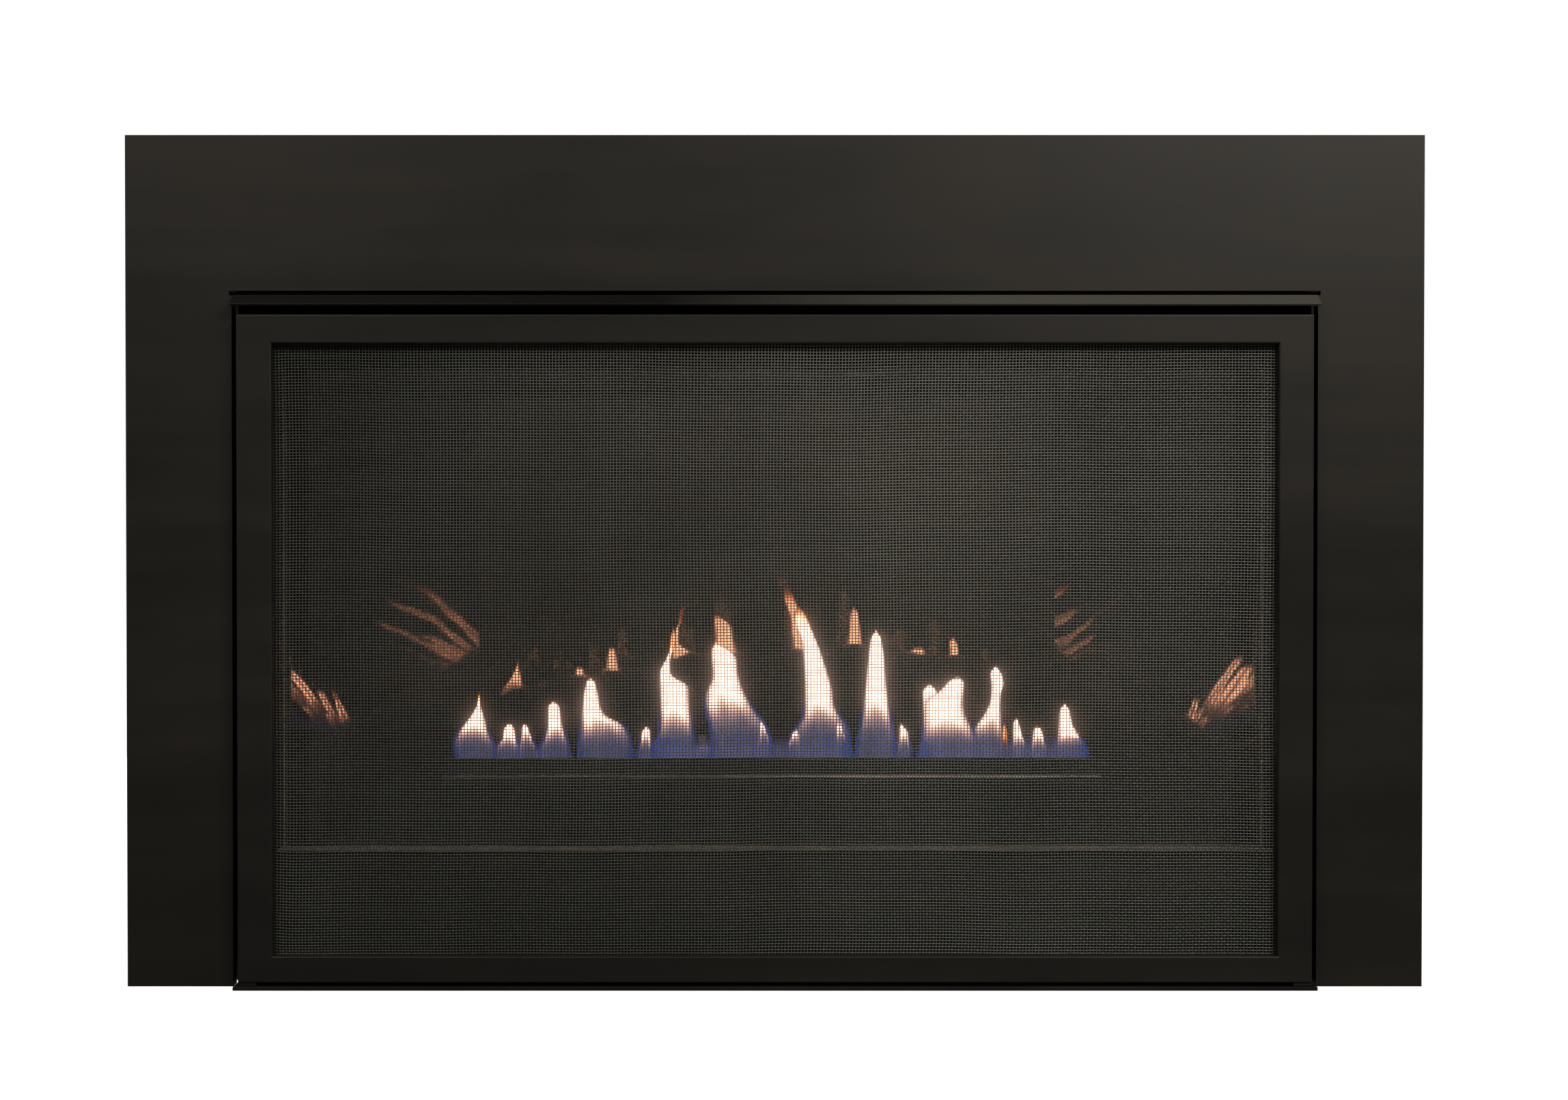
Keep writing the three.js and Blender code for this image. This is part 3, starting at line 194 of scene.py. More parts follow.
# Soft lights: place, target, width, height, power, colour and whether they show in reflections
SOFT_LIGHTS = {
    "key": ((1.25, -2.1, 1.9), (0.1, 0.0, 0.5), 1.3, 0.9, 48.0, WARM, True),
    "fill": ((-1.3, -2.1, 2.1), (-0.1, 0.0, 0.5), 1.1, 0.9, 24.0, WARM, True),
    "rear": ((-0.8, 4.2, 2.0), (0.0, 0.3, 0.5), 6.0, 4.0, 110.0, NEUTRAL, True),
    "right": ((3.2, 0.7, 1.4), (0.2, 0.1, 0.3), 1.6, 2.2, 40.0, NEUTRAL, True),
    "left": ((-3.2, 0.7, 1.4), (-0.2, 0.1, 0.3), 1.6, 2.2, 40.0, NEUTRAL, True),
    "top": ((0.0, 0.4, 3.4), (0.0, 0.0, 0.0), 5.0, 5.0, 110.0, NEUTRAL, False),
}

# Flames, which stand half way between this depth and the tray's back: their shape, heat and light
FLAME_BED_FRONT = 0.112
FLAME_SWAY = 0.006
FLAME_SWAY_STEP = 2.4
FLAME_CROWDING = 0.9
FLAME_SMOOTHINGS = 2
FLAME_TIP_SHARE = 0.06
FLAME_TIP_LEAST = 0.02
FLAME_DEPTH_LEAST = 0.0012
ARCH_DEPTH = 0.66
HEAT_START = 0.50
HEAT_RUN = 1.15
RIM_START = 0.52
RIM_COOLING = 0.62
TIP_HEAT = 0.62
CORE_VEIL = 0.42
TIP_VEIL = 0.15
MANTLE_GROWTH = 0.0022
MANTLE_HEAT = -0.2
MANTLE_VEIL = 0.05
MANTLE_RIM = 0.62
FLAME_DOUBLINGS = (8.2, -2.1)
FLAME_STRENGTH = 0.31
FLAME_TIP_STRENGTH = 0.14
FLAME_BASE_DROP = 0.0045
FLAME_LEVELS = 56
FLAME_SIDES = 20
FLAME_DEPTH_SHARE = 0.34
FLAME_DEPTH_MOST = 0.007

# The flames in the photograph: the row at which the middle is half way from blue to white, then
# row, left column and right column of each level from the burner up
FLAMES = {
    "far_left": (
        1075, (1108, 668, 727), (1093, 666, 724), (1081, 667.5, 718), (1066, 674, 713.5),
        (1050, 688, 709.5), (1036, 697, 704.5), (1026, 700, 703.5), (1012, 700.5, 702.5),
    ),
    "low_left": (
        1086, (1108, 724, 763), (1091, 729, 758), (1083, 735, 755.5), (1070, 737, 754),
        (1064, 739, 752), (1059, 744, 748),
    ),
    "low_left_twin": (
        1083, (1108, 758, 790), (1095, 761, 784), (1078, 763, 778), (1066, 763.5, 773.5),
        (1059, 767, 770),
    ),
    "left": (
        1077, (1108, 784, 835), (1093, 792, 831), (1081, 798, 829), (1066, 801, 824.5),
        (1050, 802, 822), (1034, 802.5, 819.5), (1029, 806, 815), (1026, 809, 812),
    ),
    "shouldered": (
        1068, (1108, 848, 925), (1097, 849, 924), (1078, 850, 921), (1064, 850.5, 915),
        (1056, 851, 906), (1050, 851.2, 888), (1038, 852, 880.5), (1018, 854, 877),
        (998, 858, 871.5), (993, 861, 868), (990.5, 863.5, 865.5),
    ),
    "low_centre": (
        1086, (1108, 934, 954), (1091, 937, 953), (1078, 938.5, 952.5), (1070, 940.5, 952),
        (1063, 945, 949),
    ),
    "stepped": (
        1059, (1108, 957, 1017), (1087, 963, 1014.5), (1060, 967, 1013), (1039, 966, 1011),
        (1007, 964, 1009.5), (999, 964.5, 1008.5), (994, 965, 983), (980, 966, 982),
        (967, 975, 981.5), (955, 979.5, 984), (945, 981, 989), (934, 981.5, 990), (924, 983, 989),
        (916, 985, 987),
    ),
    "broad": (
        1042, (1108, 1040, 1136), (1087, 1044, 1129), (1075, 1042.5, 1125), (1062, 1040.5, 1121),
        (1045, 1035, 1108), (1028, 1031.5, 1098), (1011, 1033, 1089), (997, 1042, 1084),
        (986, 1043, 1081), (963, 1040.5, 1079.5), (953, 1041, 1071), (946, 1043, 1056),
        (937, 1046, 1050),
    ),
    "tall": (
        1050, (1108, 1152, 1245), (1091, 1154, 1243), (1075, 1158, 1243), (1062, 1171, 1241),
        (1049, 1177, 1229), (1035, 1178, 1222), (1007, 1177.5, 1219), (980, 1176, 1211),
        (950, 1175, 1201), (934, 1172, 1194), (913, 1163, 1186), (902, 1161.5, 1182),
        (892, 1163, 1176), (884, 1166, 1169),
    ),
    "slim": (
        1050, (1108, 1253, 1312), (1096, 1255, 1309), (1072, 1259, 1307), (1049, 1263, 1303.5),
        (1020, 1265, 1300), (992, 1268, 1297.5), (959, 1271, 1295), (938, 1273.5, 1291.5),
        (928, 1277, 1288), (921, 1281, 1284),
    ),
    "low_right": (
        1085, (1108, 1313, 1334), (1086, 1316, 1331), (1072, 1316.5, 1330), (1064, 1317, 1323),
        (1059, 1318, 1320),
    ),
    "double": (
        1066, (1108, 1352, 1376), (1045, 1352, 1375), (1025, 1350.5, 1376), (1013, 1350, 1373),
        (1005, 1355, 1367), (1001, 1360, 1363),
    ),
    "double_twin": (
        1069, (1108, 1350, 1437), (1068, 1352, 1425), (1049, 1352, 1415), (1034, 1350.5, 1411.5),
        (1024, 1352, 1411.5), (1015, 1372, 1411.8), (1004, 1383, 1412), (994, 1391, 1412),
        (990, 1398, 1407),
    ),
    "necked": (
        1068, (1108, 1420, 1470), (1086, 1424, 1469), (1063, 1427, 1467), (1051, 1438, 1466),
        (1035, 1447, 1465), (1025, 1450.5, 1465.5), (1013, 1451, 1466), (1002, 1451, 1471),
        (987, 1449, 1467), (980, 1452, 1463), (973, 1458, 1460),
    ),
    "right_wisp": (
        1086, (1108, 1481, 1503), (1091, 1483, 1502), (1070, 1483.5, 1495), (1058, 1484, 1492),
        (1051, 1487, 1489),
    ),
    "right_low": (
        1086, (1108, 1507, 1533), (1091, 1511, 1531), (1078, 1512, 1528), (1068, 1513, 1525.5),
        (1063, 1517, 1520),
    ),
    "far_right": (
        1085, (1108, 1542, 1592), (1095, 1546, 1589), (1079, 1548.5, 1582), (1061, 1550, 1571),
        (1042, 1551, 1567), (1034, 1555, 1563), (1029, 1558, 1560),
    ),
    "middle_bed": (900, (1108, 950, 1247), (1098, 952, 1245), (1088, 957, 1241), (1082, 964, 1236)),
    "right_bed": (
        900, (1108, 1345, 1592), (1098, 1347, 1591), (1088, 1351, 1588), (1082, 1358, 1583),
    ),
    "violet_bump": (
        1090, (1108, 1016, 1046), (1100, 1021, 1043), (1093, 1027, 1037), (1089, 1030, 1034),
    ),
    "broad_tongue": (
        1080, (1108, 1104, 1131), (1085, 1110, 1127), (1066, 1112, 1121), (1055, 1113, 1116),
    ),
    "tall_left_tongue": (
        1086, (1108, 1152, 1173), (1090, 1154, 1171), (1076, 1159, 1171), (1067, 1164, 1168),
    ),
    "tall_right_tongue": (
        1080, (1108, 1222, 1244), (1086, 1225, 1240), (1066, 1224, 1234), (1056, 1226, 1230),
    ),
    "red_streak": (
        1092, (1108, 1464, 1477), (1088, 1465, 1476), (1070, 1467, 1475), (1058, 1469, 1473),
    ),
}

# Flames that stand further back or further forward than the wave of the others
FLAME_SHIFTS = {"double": 0.012}

# The row above which a flame's tip burns orange
FLAME_COOL_ROWS = {
    "tall": 914, "stepped": 962, "broad": 948, "shouldered": 998, "far_left": 1034,
    "red_streak": 1102,
}


def smooth_step(start, end, value):
    """0 up to start, 1 from end on, and a smooth rise between."""
    share = np.clip((value - start) / (end - start), 0.0, 1.0)
    return share * share * (3.0 - 2.0 * share)


def raised(least, share):
    """A share lifted so that it starts from its least value and still ends at 1."""
    return least + (1.0 - least) * share


def at_pixel(column, row, depth):
    """The point on the plane y = depth that the photograph shows at this pixel."""
    away = (depth - CAMERA_Y) / FOCAL_PIXELS
    return Vector((
        CAMERA_X + (column - AXIS_COLUMN) * away,
        depth,
        CAMERA_Z - (row - HORIZON_ROW) * away,
    ))


# Camera


def make_camera():
    data = bpy.data.cameras.new("camera")
    camera = bpy.data.objects.new("camera", data)
    bpy.context.scene.collection.objects.link(camera)
    data.sensor_width = SENSOR
    data.lens = FOCAL_PIXELS * SENSOR / PHOTO_WIDTH
    data.shift_x = (PHOTO_WIDTH / 2 - AXIS_COLUMN) / PHOTO_WIDTH
    data.clip_start = CLIP_NEAR
    data.clip_end = CLIP_FAR
    pitch = math.atan((PHOTO_HEIGHT / 2 - HORIZON_ROW) / FOCAL_PIXELS)
    camera.location = (CAMERA_X, CAMERA_Y, CAMERA_Z)
    camera.rotation_euler = (math.pi / 2 - pitch, 0.0, 0.0)
    bpy.context.scene.camera = camera


make_camera()


# Shader building


class Shader:
    """A material's node tree with short names for the nodes that the finishes use."""

    def __init__(self, name):
        self.material = bpy.data.materials.new(name)
        self.material.use_nodes = True
        self.tree = self.material.node_tree
        self.tree.nodes.clear()
        self.output = self.node("ShaderNodeOutputMaterial")
        self.surface = self.node("ShaderNodeBsdfPrincipled")
        self.give(self.output.inputs["Surface"], self.surface.outputs["BSDF"])
        places = self.node("ShaderNodeTexCoord")
        self.coordinates = places.outputs["Object"]
        self.normal = places.outputs["Normal"]

    def node(self, kind, **settings):
        made = self.tree.nodes.new(kind)
        for key, value in settings.items():
            setattr(made, key, value)
        return made

    def give(self, socket, value):
        """Sets a socket, or links it where the value is another node's output."""
        if isinstance(value, bpy.types.NodeSocket):
            self.tree.links.new(value, socket)
        else:
            socket.default_value = value

    def made(self, kind, output, inputs, **settings):
        """Makes a node, gives it its inputs and returns one of its outputs."""
        node = self.node(kind, **settings)
        for key, value in inputs.items():
            self.give(node.inputs[key], value)
        return node.outputs[output]

    def set(self, **values):
        for key, value in values.items():
            self.give(self.surface.inputs[key.replace("_", " ")], value)

    def stretched(self, scale):
        if not scale:
            return self.coordinates
        inputs = {"Scale": scale, "Vector": self.coordinates}
        return self.made("ShaderNodeMapping", "Vector", inputs)

    def noise(self, scale, detail=2.0, stretch=None, roughness=0.5):
        inputs = {"Scale": scale, "Detail": detail, "Roughness": roughness}
        inputs["Vector"] = self.stretched(stretch)
        return self.made("ShaderNodeTexNoise", "Fac", inputs)

    def cells(self, scale, output="Distance", stretch=None):
        inputs = {"Scale": scale, "Vector": self.stretched(stretch)}
        return self.made("ShaderNodeTexVoronoi", output, inputs)

    def range(self, value, low, high, start=0.0, end=1.0):
        inputs = {"Value": value, "From Min": start, "From Max": end, "To Min": low, "To Max": high}
        return self.made("ShaderNodeMapRange", "Result", inputs)

    def ramp(self, value, *stops):
        made = self.node("ShaderNodeValToRGB")
        elements = made.color_ramp.elements
        while len(elements) < len(stops):
            elements.new(0.5)
        for element, (place, colour) in zip(elements, stops):
            element.position = place
            element.color = (*colour, 1.0)
        self.give(made.inputs["Fac"], value)
        return made.outputs["Color"]

    def math(self, operation, *values):
        return self.made("ShaderNodeMath", "Value", dict(enumerate(values)), operation=operation)

    def times(self, first, second):
        return self.math("MULTIPLY", first, second)

    def plus(self, first, second):
        return self.math("ADD", first, second)

    def minus(self, first, second):
        return self.math("SUBTRACT", first, second)

    def vector(self, operation, *values, output="Vector"):
        inputs = dict(enumerate(values))
        return self.made("ShaderNodeVectorMath", output, inputs, operation=operation)

    def bump(self, height, distance, strength=1.0, below=None):
        inputs = {"Strength": strength, "Distance": distance, "Height": height}
        if below is not None:
            inputs["Normal"] = below
        return self.made("ShaderNodeBump", "Normal", inputs)

    def place(self, axis):
        """The surface point's own coordinate along one axis."""
        return self.made("ShaderNodeSeparateXYZ", axis, {"Vector": self.coordinates})

    def window(self, value, rise, top, end, fall):
        """1 between top and end, 0 before rise and after fall."""
        opening = self.range(value, 0.0, 1.0, rise, top)
        closing = self.range(value, 1.0, 0.0, end, fall)
        return self.times(opening, closing)

    def mixed(self, factor, first, second):
        """One colour turning into another; the second may be a plain colour."""
        inputs = {"Factor": factor, "A": first, "B": second}
        return self.made("ShaderNodeMix", "Result", inputs, data_type="RGBA")

    def attribute(self, name):
        return self.made("ShaderNodeAttribute", "Fac", {}, attribute_name=name)


def tinted(colour, factor):
    return tuple(min(1.0, channel * factor) for channel in colour)


# Finishes


def satin_paint(name, colour, roughness, gloss=PAINT_GLOSS, painted_raking_light=None):
    """Charcoal powder coat: fine grain, slow streaks of gloss and tone, a hint of warm brown."""
    shader = Shader(name)
    cloud = shader.noise(3.2, 4.0, (0.7, 1.0, 1.6), 0.6)
    streak = shader.noise(9.0, 3.0, (0.35, 1.0, 3.5))
    mottle = shader.plus(shader.times(cloud, 0.65), shader.times(streak, 0.35))
    browned = tuple(channel * factor for channel, factor in zip(colour, PAINT_BROWNING))
    tone = shader.ramp(
        mottle,
        (0.30, tinted(colour, 0.70)),
        (0.50, colour),
        (0.62, browned),
        (0.74, tinted(colour, 1.12)),
    )
    # Painted light: the tone turns lighter along X, as under a raking lamp from the right
    if painted_raking_light:
        painted_light_and_tone, painted_highlight = painted_raking_light
        tone = shader.mixed(shader.range(shader.place("X"), *painted_light_and_tone), tone, (*painted_highlight, 1.0))
    broad = shader.bump(shader.noise(5.0, 1.0), 0.0016)
    shader.set(
        Base_Color=tone,
        Roughness=shader.range(mottle, roughness - 0.07, roughness + 0.07, 0.3, 0.7),
        Specular_IOR_Level=gloss,
        Normal=shader.bump(shader.noise(1500.0, 2.0), 0.000025, 0.5, broad),
    )
    return shader.material


def wire_paint_and_painted_light():
    """The coated wire of the screen: random tone, and painted light that is lighter towards the
    middle and right and higher up.
    """
    shader = Shader("screen_wire")
    patch = shader.noise(7.0, 3.0)
    speck = shader.noise(420.0, 2.0)
    tone = shader.plus(shader.times(patch, 0.6), shader.times(speck, 0.4))
    # Painted light, lighter from the left towards the middle and right and higher up, plus random
    # tone
    rising = shader.range(shader.place("X"), *WIRE_LIGHT_RISE)
    falling = shader.range(shader.place("X"), *WIRE_LIGHT_FALL)
    upward = shader.range(shader.place("Z"), *WIRE_LIGHT_UPWARD)
    painted_light_and_tone = shader.times(shader.minus(rising, falling), upward)
    painted_light_and_tone = shader.plus(painted_light_and_tone, shader.range(tone, -0.16, 0.16, 0.3, 0.7))
    shader.set(
        Base_Color=shader.ramp(painted_light_and_tone, *zip((0.0, 0.5, 1.0), WIRE_TONES)),
        Roughness=shader.range(tone, 0.28, 0.44, 0.3, 0.7),
        Metallic=0.6,
        Specular_IOR_Level=0.5,
    )
    return shader.material


def black_steel(name, painted_highlight=None, gloss=0.22, shade=1.0):
    """Matt heat resistant black on sheet steel, browned by heat, with a painted highlight where one
    is given.
    """
    shader = Shader(name)
    cloud = shader.noise(6.0, 4.0)
    tones = [tinted(tone, shade) for tone in STEEL_TONES]
    tone = shader.ramp(cloud, *zip((0.35, 0.55, 0.70), tones))
    # Painted highlight: a bright tone in a window along lit edges, fading along X, in patches
    if painted_highlight:
        windows, painted_light_and_tone, metal = painted_highlight
        share = shader.range(shader.place("X"), *painted_light_and_tone)
        for axis, edges in windows.items():
            share = shader.times(share, shader.window(shader.place(axis), *edges))
        patchy = shader.range(shader.noise(26.0, 2.0), 0.65, 1.0, 0.35, 0.6)
        tone = shader.mixed(shader.times(share, patchy), tone, (*metal, 1.0))
    shader.set(
        Base_Color=tone,
        Roughness=shader.range(cloud, 0.48, 0.62, 0.3, 0.7),
        Specular_IOR_Level=gloss,
        Normal=shader.bump(shader.noise(900.0, 3.0), 0.00003, 0.6),
    )
    return shader.material


def soot_share(shader, line, fall, slope):
    """1 below a ragged line, which falls to both sides and forwards, and near the front edge."""
    across = shader.minus(shader.place("X"), SOOT_MIDDLE)
    drop = shader.times(shader.times(across, across), fall)
    forward = shader.times(shader.minus(SOOT_BACK, shader.place("Y")), slope)
    over = shader.minus(shader.plus(shader.place("Z"), shader.plus(drop, forward)), line)
    ragged = shader.range(shader.noise(22.0, 2.0), -SOOT_RAGGED, SOOT_RAGGED, 0.3, 0.7)
    below = shader.range(shader.plus(over, ragged), 1.0, 0.0, -SOOT_FADE, SOOT_FADE)
    front = shader.range(shader.place("Y"), 1.0, 0.0, SOOT_FRONT, SOOT_FRONT_END)
    return shader.math("MAXIMUM", below, front)


def warped_normal(shader, lean, tilt):
    """The rippled surface, leaning more the further a point is from the warp's middle height."""
    ripple = shader.bump(shader.noise(9.0, 1.0), 0.0016, 0.5)
    turn = shader.times(shader.minus(shader.place("Z"), WARP_HEIGHT), lean)
    side = shader.times(shader.math("SIGN", shader.place("X")), -LINER_TAPER)
    leaning = {"X": shader.times(turn, side), "Y": turn, "Z": -tilt}
    bent = shader.made("ShaderNodeCombineXYZ", "Vector", leaning)
    return shader.vector("NORMALIZE", shader.vector("ADD", ripple, bent))


def black_enamel(name, line, blur, tint, fall=0.0, slope=0.0, lean=0.0, tilt=0.0):
    """Porcelain enamel, polished above a line of soot; tilted, or warped by its firing."""
    shader = Shader(name)
    dust = shader.noise(60.0, 5.0)
    soot = soot_share(shader, line, fall, slope)
    polish = shader.range(dust, 0.8 * blur, 1.4 * blur, 0.35, 0.75)
    shader.set(
        Base_Color=shader.ramp(dust, *zip((0.4, 0.75), ENAMEL_TONES)),
        Roughness=shader.math("MULTIPLY_ADD", soot, 0.7, polish),
        IOR=1.95,
        Specular_IOR_Level=0.5,
        Specular_Tint=shader.ramp(soot, (0.0, tint), (0.22, SOOT_TINT)),
        Normal=warped_normal(shader, lean, tilt),
    )
    return shader.material


def painted_shade_share(shader):
    """Painted shade: 1 on faces that look into the casing, and near the front where the air slot
    shows them.
    """
    inward = shader.vector("SUBTRACT", CASING_MIDDLE, shader.coordinates)
    facing = shader.vector("DOT_PRODUCT", inward, shader.normal, output="Value")
    front = shader.range(shader.place("Y"), 1.0, 0.0, PAINTED_SHADE_DEPTH, PAINTED_SHADE_DEPTH + PAINTED_SHADE_FADE)
    away = shader.math("ABSOLUTE", shader.place("X"))
    within = shader.range(away, 1.0, 0.0, PAINTED_SHADE_HALF, PAINTED_SHADE_HALF + PAINTED_SHADE_FADE)
    inside = shader.range(facing, 0.0, 1.0, 0.0, PAINTED_SHADE_FADE)
    return shader.math("MAXIMUM", shader.times(front, within), inside)


def galvanised(name, with_painted_shade=False):
    """Zinc coated sheet with faint spangle crystals, with black painted shade in places if asked
    for.
    """
    shader = Shader(name)
    crystals = {"Color": shader.cells(110.0, "Color")}
    grey = shader.made("ShaderNodeSeparateColor", "Red", crystals)
    cloud = shader.times(shader.noise(7.0, 4.0), 0.6)
    value = shader.math("MULTIPLY_ADD", grey, 0.4, cloud)
    colour = shader.ramp(
        value,
        (0.2, (0.46, 0.47, 0.48)),
        (0.5, (0.54, 0.55, 0.555)),
        (0.8, (0.60, 0.61, 0.61)),
    )
    roughness = shader.range(value, 0.36, 0.50, 0.2, 0.8)
    metallic = 0.9
    # Black painted shade on faces inside the casing and on its front edges
    if with_painted_shade:
        share = painted_shade_share(shader)
        colour = shader.mixed(share, colour, PAINTED_SHADE_COLOUR)
        roughness = shader.math("MULTIPLY_ADD", share, 0.3, roughness)
        metallic = shader.range(share, metallic, 0.0)
        shader.set(Specular_IOR_Level=0.0)
    shader.set(
        Base_Color=colour,
        Roughness=roughness,
        Metallic=metallic,
        Normal=shader.bump(shader.noise(500.0, 3.0), 0.00002, 0.6),
    )
    return shader.material


def grained(name, tones, patches, grain, dullness, relief, **more):
    """Slow patches of tone, and a fine grain that sets the dullness and the relief."""
    shader = Shader(name)
    fine = shader.noise(*grain)
    shader.set(
        Base_Color=shader.ramp(shader.noise(*patches), *tones),
        Roughness=shader.range(fine, *dullness, 0.3, 0.7),
        Normal=shader.bump(fine, *relief),
        **more,
    )
    return shader.material


def brushed(name, colour, roughness, stretch=(1.0, 1.0, 40.0), warm=None):
    """Bright metal with fine parallel brushing, and a heat tint where one is given."""
    light = warm or tinted(colour, 1.12)
    tones = ((0.3, tinted(colour, 0.82)), (0.55, colour), (0.75, light))
    dullness = (roughness - 0.08, roughness + 0.10)
    grain = (260.0, 4.0, stretch)
    return grained(name, tones, (9.0, 3.0), grain, dullness, (0.00002, 0.5), Metallic=1.0)


def cast_metal():
    """Die cast aluminium: dull, with a fine sandy skin."""
    tones = ((0.3, (0.30, 0.31, 0.32)), (0.7, (0.44, 0.45, 0.46)))
    numbers = ((30.0, 3.0), (700.0, 4.0), (0.42, 0.62), (0.00006, 0.7))
    return grained("cast_aluminium", tones, *numbers, Metallic=0.9)


def moulded(name, colour, roughness):
    """Moulded plastic with a fine spark eroded grain."""
    tones = ((0.3, tinted(colour, 0.8)), (0.7, tinted(colour, 1.2)))
    dullness = (roughness - 0.06, roughness + 0.08)
    numbers = ((40.0, 3.0), (1100.0, 3.0), dullness, (0.00003, 0.6))
    return grained(name, tones, *numbers, Specular_IOR_Level=0.45)


def ceramic():
    """Unglazed white ceramic with faint firing marks."""
    tones = ((0.3, (0.62, 0.58, 0.50)), (0.7, (0.80, 0.77, 0.70)))
    marks = (160.0, 4.0)
    return grained("white_ceramic", tones, marks, marks, (0.5, 0.72), (0.00004, 0.5))


def rope():
    """Woven glass fibre rope: slanted strands in dirty white."""
    shader = Shader("rope_gasket")
    strands = shader.cells(420.0, "Distance", (1.0, 1.0, 0.45))
    shader.set(
        Base_Color=shader.ramp(strands, (0.0, (0.55, 0.52, 0.46)), (0.8, (0.26, 0.24, 0.21))),
        Roughness=shader.range(strands, 0.82, 0.95),
        Normal=shader.bump(strands, 0.0004, 0.8),
    )
    return shader.material


def clear_glass():
    """Ceramic glass with a faint warm body and slight haze from heat."""
    shader = Shader("ceramic_glass")
    haze = shader.noise(5.0, 4.0)
    shader.set(
        Base_Color=shader.ramp(haze, (0.3, (0.94, 0.92, 0.88)), (0.7, (0.97, 0.96, 0.93))),
        Roughness=shader.range(haze, 0.0, 0.012, 0.45, 0.8),
        Transmission_Weight=1.0,
        IOR=1.5,
        Specular_IOR_Level=0.5,
    )
    return shader.material


FINISHES = {
    "surround_paint": satin_paint("surround_paint", SURROUND_TONE, 0.43),
    "screen_paint": satin_paint("screen_paint", SCREEN_TONE, 0.42),
    "screen_wire": wire_paint_and_painted_light(),
    "black_steel": black_steel("black_steel"),
    "galvanised_steel": galvanised("galvanised_steel"),
    "stainless_steel": brushed(
        "stainless_steel", (0.46, 0.44, 0.41), 0.30, warm=(0.42, 0.36, 0.28)
    ),
    "black_enamel": black_enamel(
        "black_enamel", SOOT_LINE, BACK_BLUR, BACK_TINT, fall=SOOT_FALL, tilt=BACK_TILT
    ),
    "ceramic_glass": clear_glass(),
    "rope_gasket": rope(),
    "brass": brushed("brass", (0.56, 0.38, 0.14), 0.28, (40.0, 1.0, 1.0)),
    "cast_aluminium": cast_metal(),
    "black_plastic": moulded("black_plastic", (0.014, 0.014, 0.014), 0.42),
    "red_plastic": moulded("red_plastic", (0.30, 0.014, 0.010), 0.36),
    "white_ceramic": ceramic(),
}

# Nodes whose finish differs from the rest of their slot
SIDE_ENAMEL = black_enamel(
    "black_enamel_side", SOOT_LINE_SIDE, SIDE_BLUR, SIDE_TINT, slope=SOOT_SLOPE, lean=SIDE_WARP
)
# Galvanised steel with black painted shade where the air slot shows the casing
CASING_STEEL_SHADED = galvanised("casing_steel_painted_shade", with_painted_shade=True)
CASING_NODES = (
    "casing_left", "casing_right", "casing_top", "casing_back",
    "surround_bracket_left", "surround_bracket_right",
)
OWN_FINISHES = {
    **dict.fromkeys(CASING_NODES, CASING_STEEL_SHADED),
    "liner_left": SIDE_ENAMEL,
    "liner_right": SIDE_ENAMEL,
    # The hood's paint carries painted light, lighter towards the right
    "hood": satin_paint("hood_paint_painted_light", HOOD_TONE, 0.44, HOOD_GLOSS, HOOD_PAINTED_LIGHT),
    # Painted highlight along the tray's front ledge
    "burner_tray": black_steel("tray_steel_painted_highlight", TRAY_PAINTED_HIGHLIGHT),
    "burner_platform": black_steel("sooted_steel", **SOOTED),
    "firebox_floor": black_steel("sooted_floor", **SOOTED),
    # Painted highlight along the glass frame's lower inner edge
    "glass_frame": black_steel("glass_frame_steel_painted_highlight", GLASS_FRAME_PAINTED_HIGHLIGHT, gloss=0.08, shade=0.5),
}


# Meshes


def linked(name, mesh, slot=None, body="insert", smooth=True):
    """Makes the piece of a mesh, gives it a finish and lets it ride on a body."""
    piece = bpy.data.objects.new(name, mesh)
    bpy.context.scene.collection.objects.link(piece)
    if slot:
        mesh.materials.append(FINISHES[slot])
    if smooth:
        mesh.polygons.foreach_set("use_smooth", [True] * len(mesh.polygons))
    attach(piece, body)
    return piece


def mesh_of(name, points, faces):
    mesh = bpy.data.meshes.new(name)
    mesh.from_pydata([tuple(p) for p in points], [], faces)
    mesh.validate()
    return mesh


def quads_mesh(name, points, quads):
    """A mesh from arrays of points and of four-cornered faces, made in one go."""
    mesh = bpy.data.meshes.new(name)
    mesh.vertices.add(len(points))
    mesh.vertices.foreach_set("co", points.astype(np.float32).ravel())
    mesh.loops.add(quads.size)
    mesh.loops.foreach_set("vertex_index", quads.astype(np.int32).ravel())
    mesh.polygons.add(len(quads))
    mesh.polygons.foreach_set("loop_start", np.arange(0, quads.size, 4, dtype=np.int32))
    mesh.polygons.foreach_set("loop_total", np.full(len(quads), 4, dtype=np.int32))
    mesh.update(calc_edges=True)
    mesh.validate()
    return mesh


def ring_faces(rings, sides, start=0, closed=False):
    """Quads between rings of points; the last ring meets the first one or is capped."""
    faces = []
    for ring in range(rings if closed else rings - 1):
        low = start + ring * sides
        high = start + (ring + 1) % rings * sides
        for side in range(sides):
            after = (side + 1) % sides
            faces.append((low + side, low + after, high + after, high + side))
    if not closed:
        faces.append(tuple(start + (rings - 1) * sides + side for side in range(sides)))
    return faces


def softened(piece, width, angle=EDGE_ANGLE):
    """Small rounded edges that catch the light, as on folded and painted sheet."""
    weld = piece.modifiers.new("weld", "WELD")
    weld.merge_threshold = WELD_REACH
    bevel = piece.modifiers.new("bevel", "BEVEL")
    bevel.width = width
    bevel.segments = EDGE_SEGMENTS
    bevel.limit_method = "ANGLE"
    bevel.angle_limit = math.radians(angle)
    bevel.harden_normals = True
    bevel.miter_outer = "MITER_ARC"


# The CAD nodes that keep their own shape


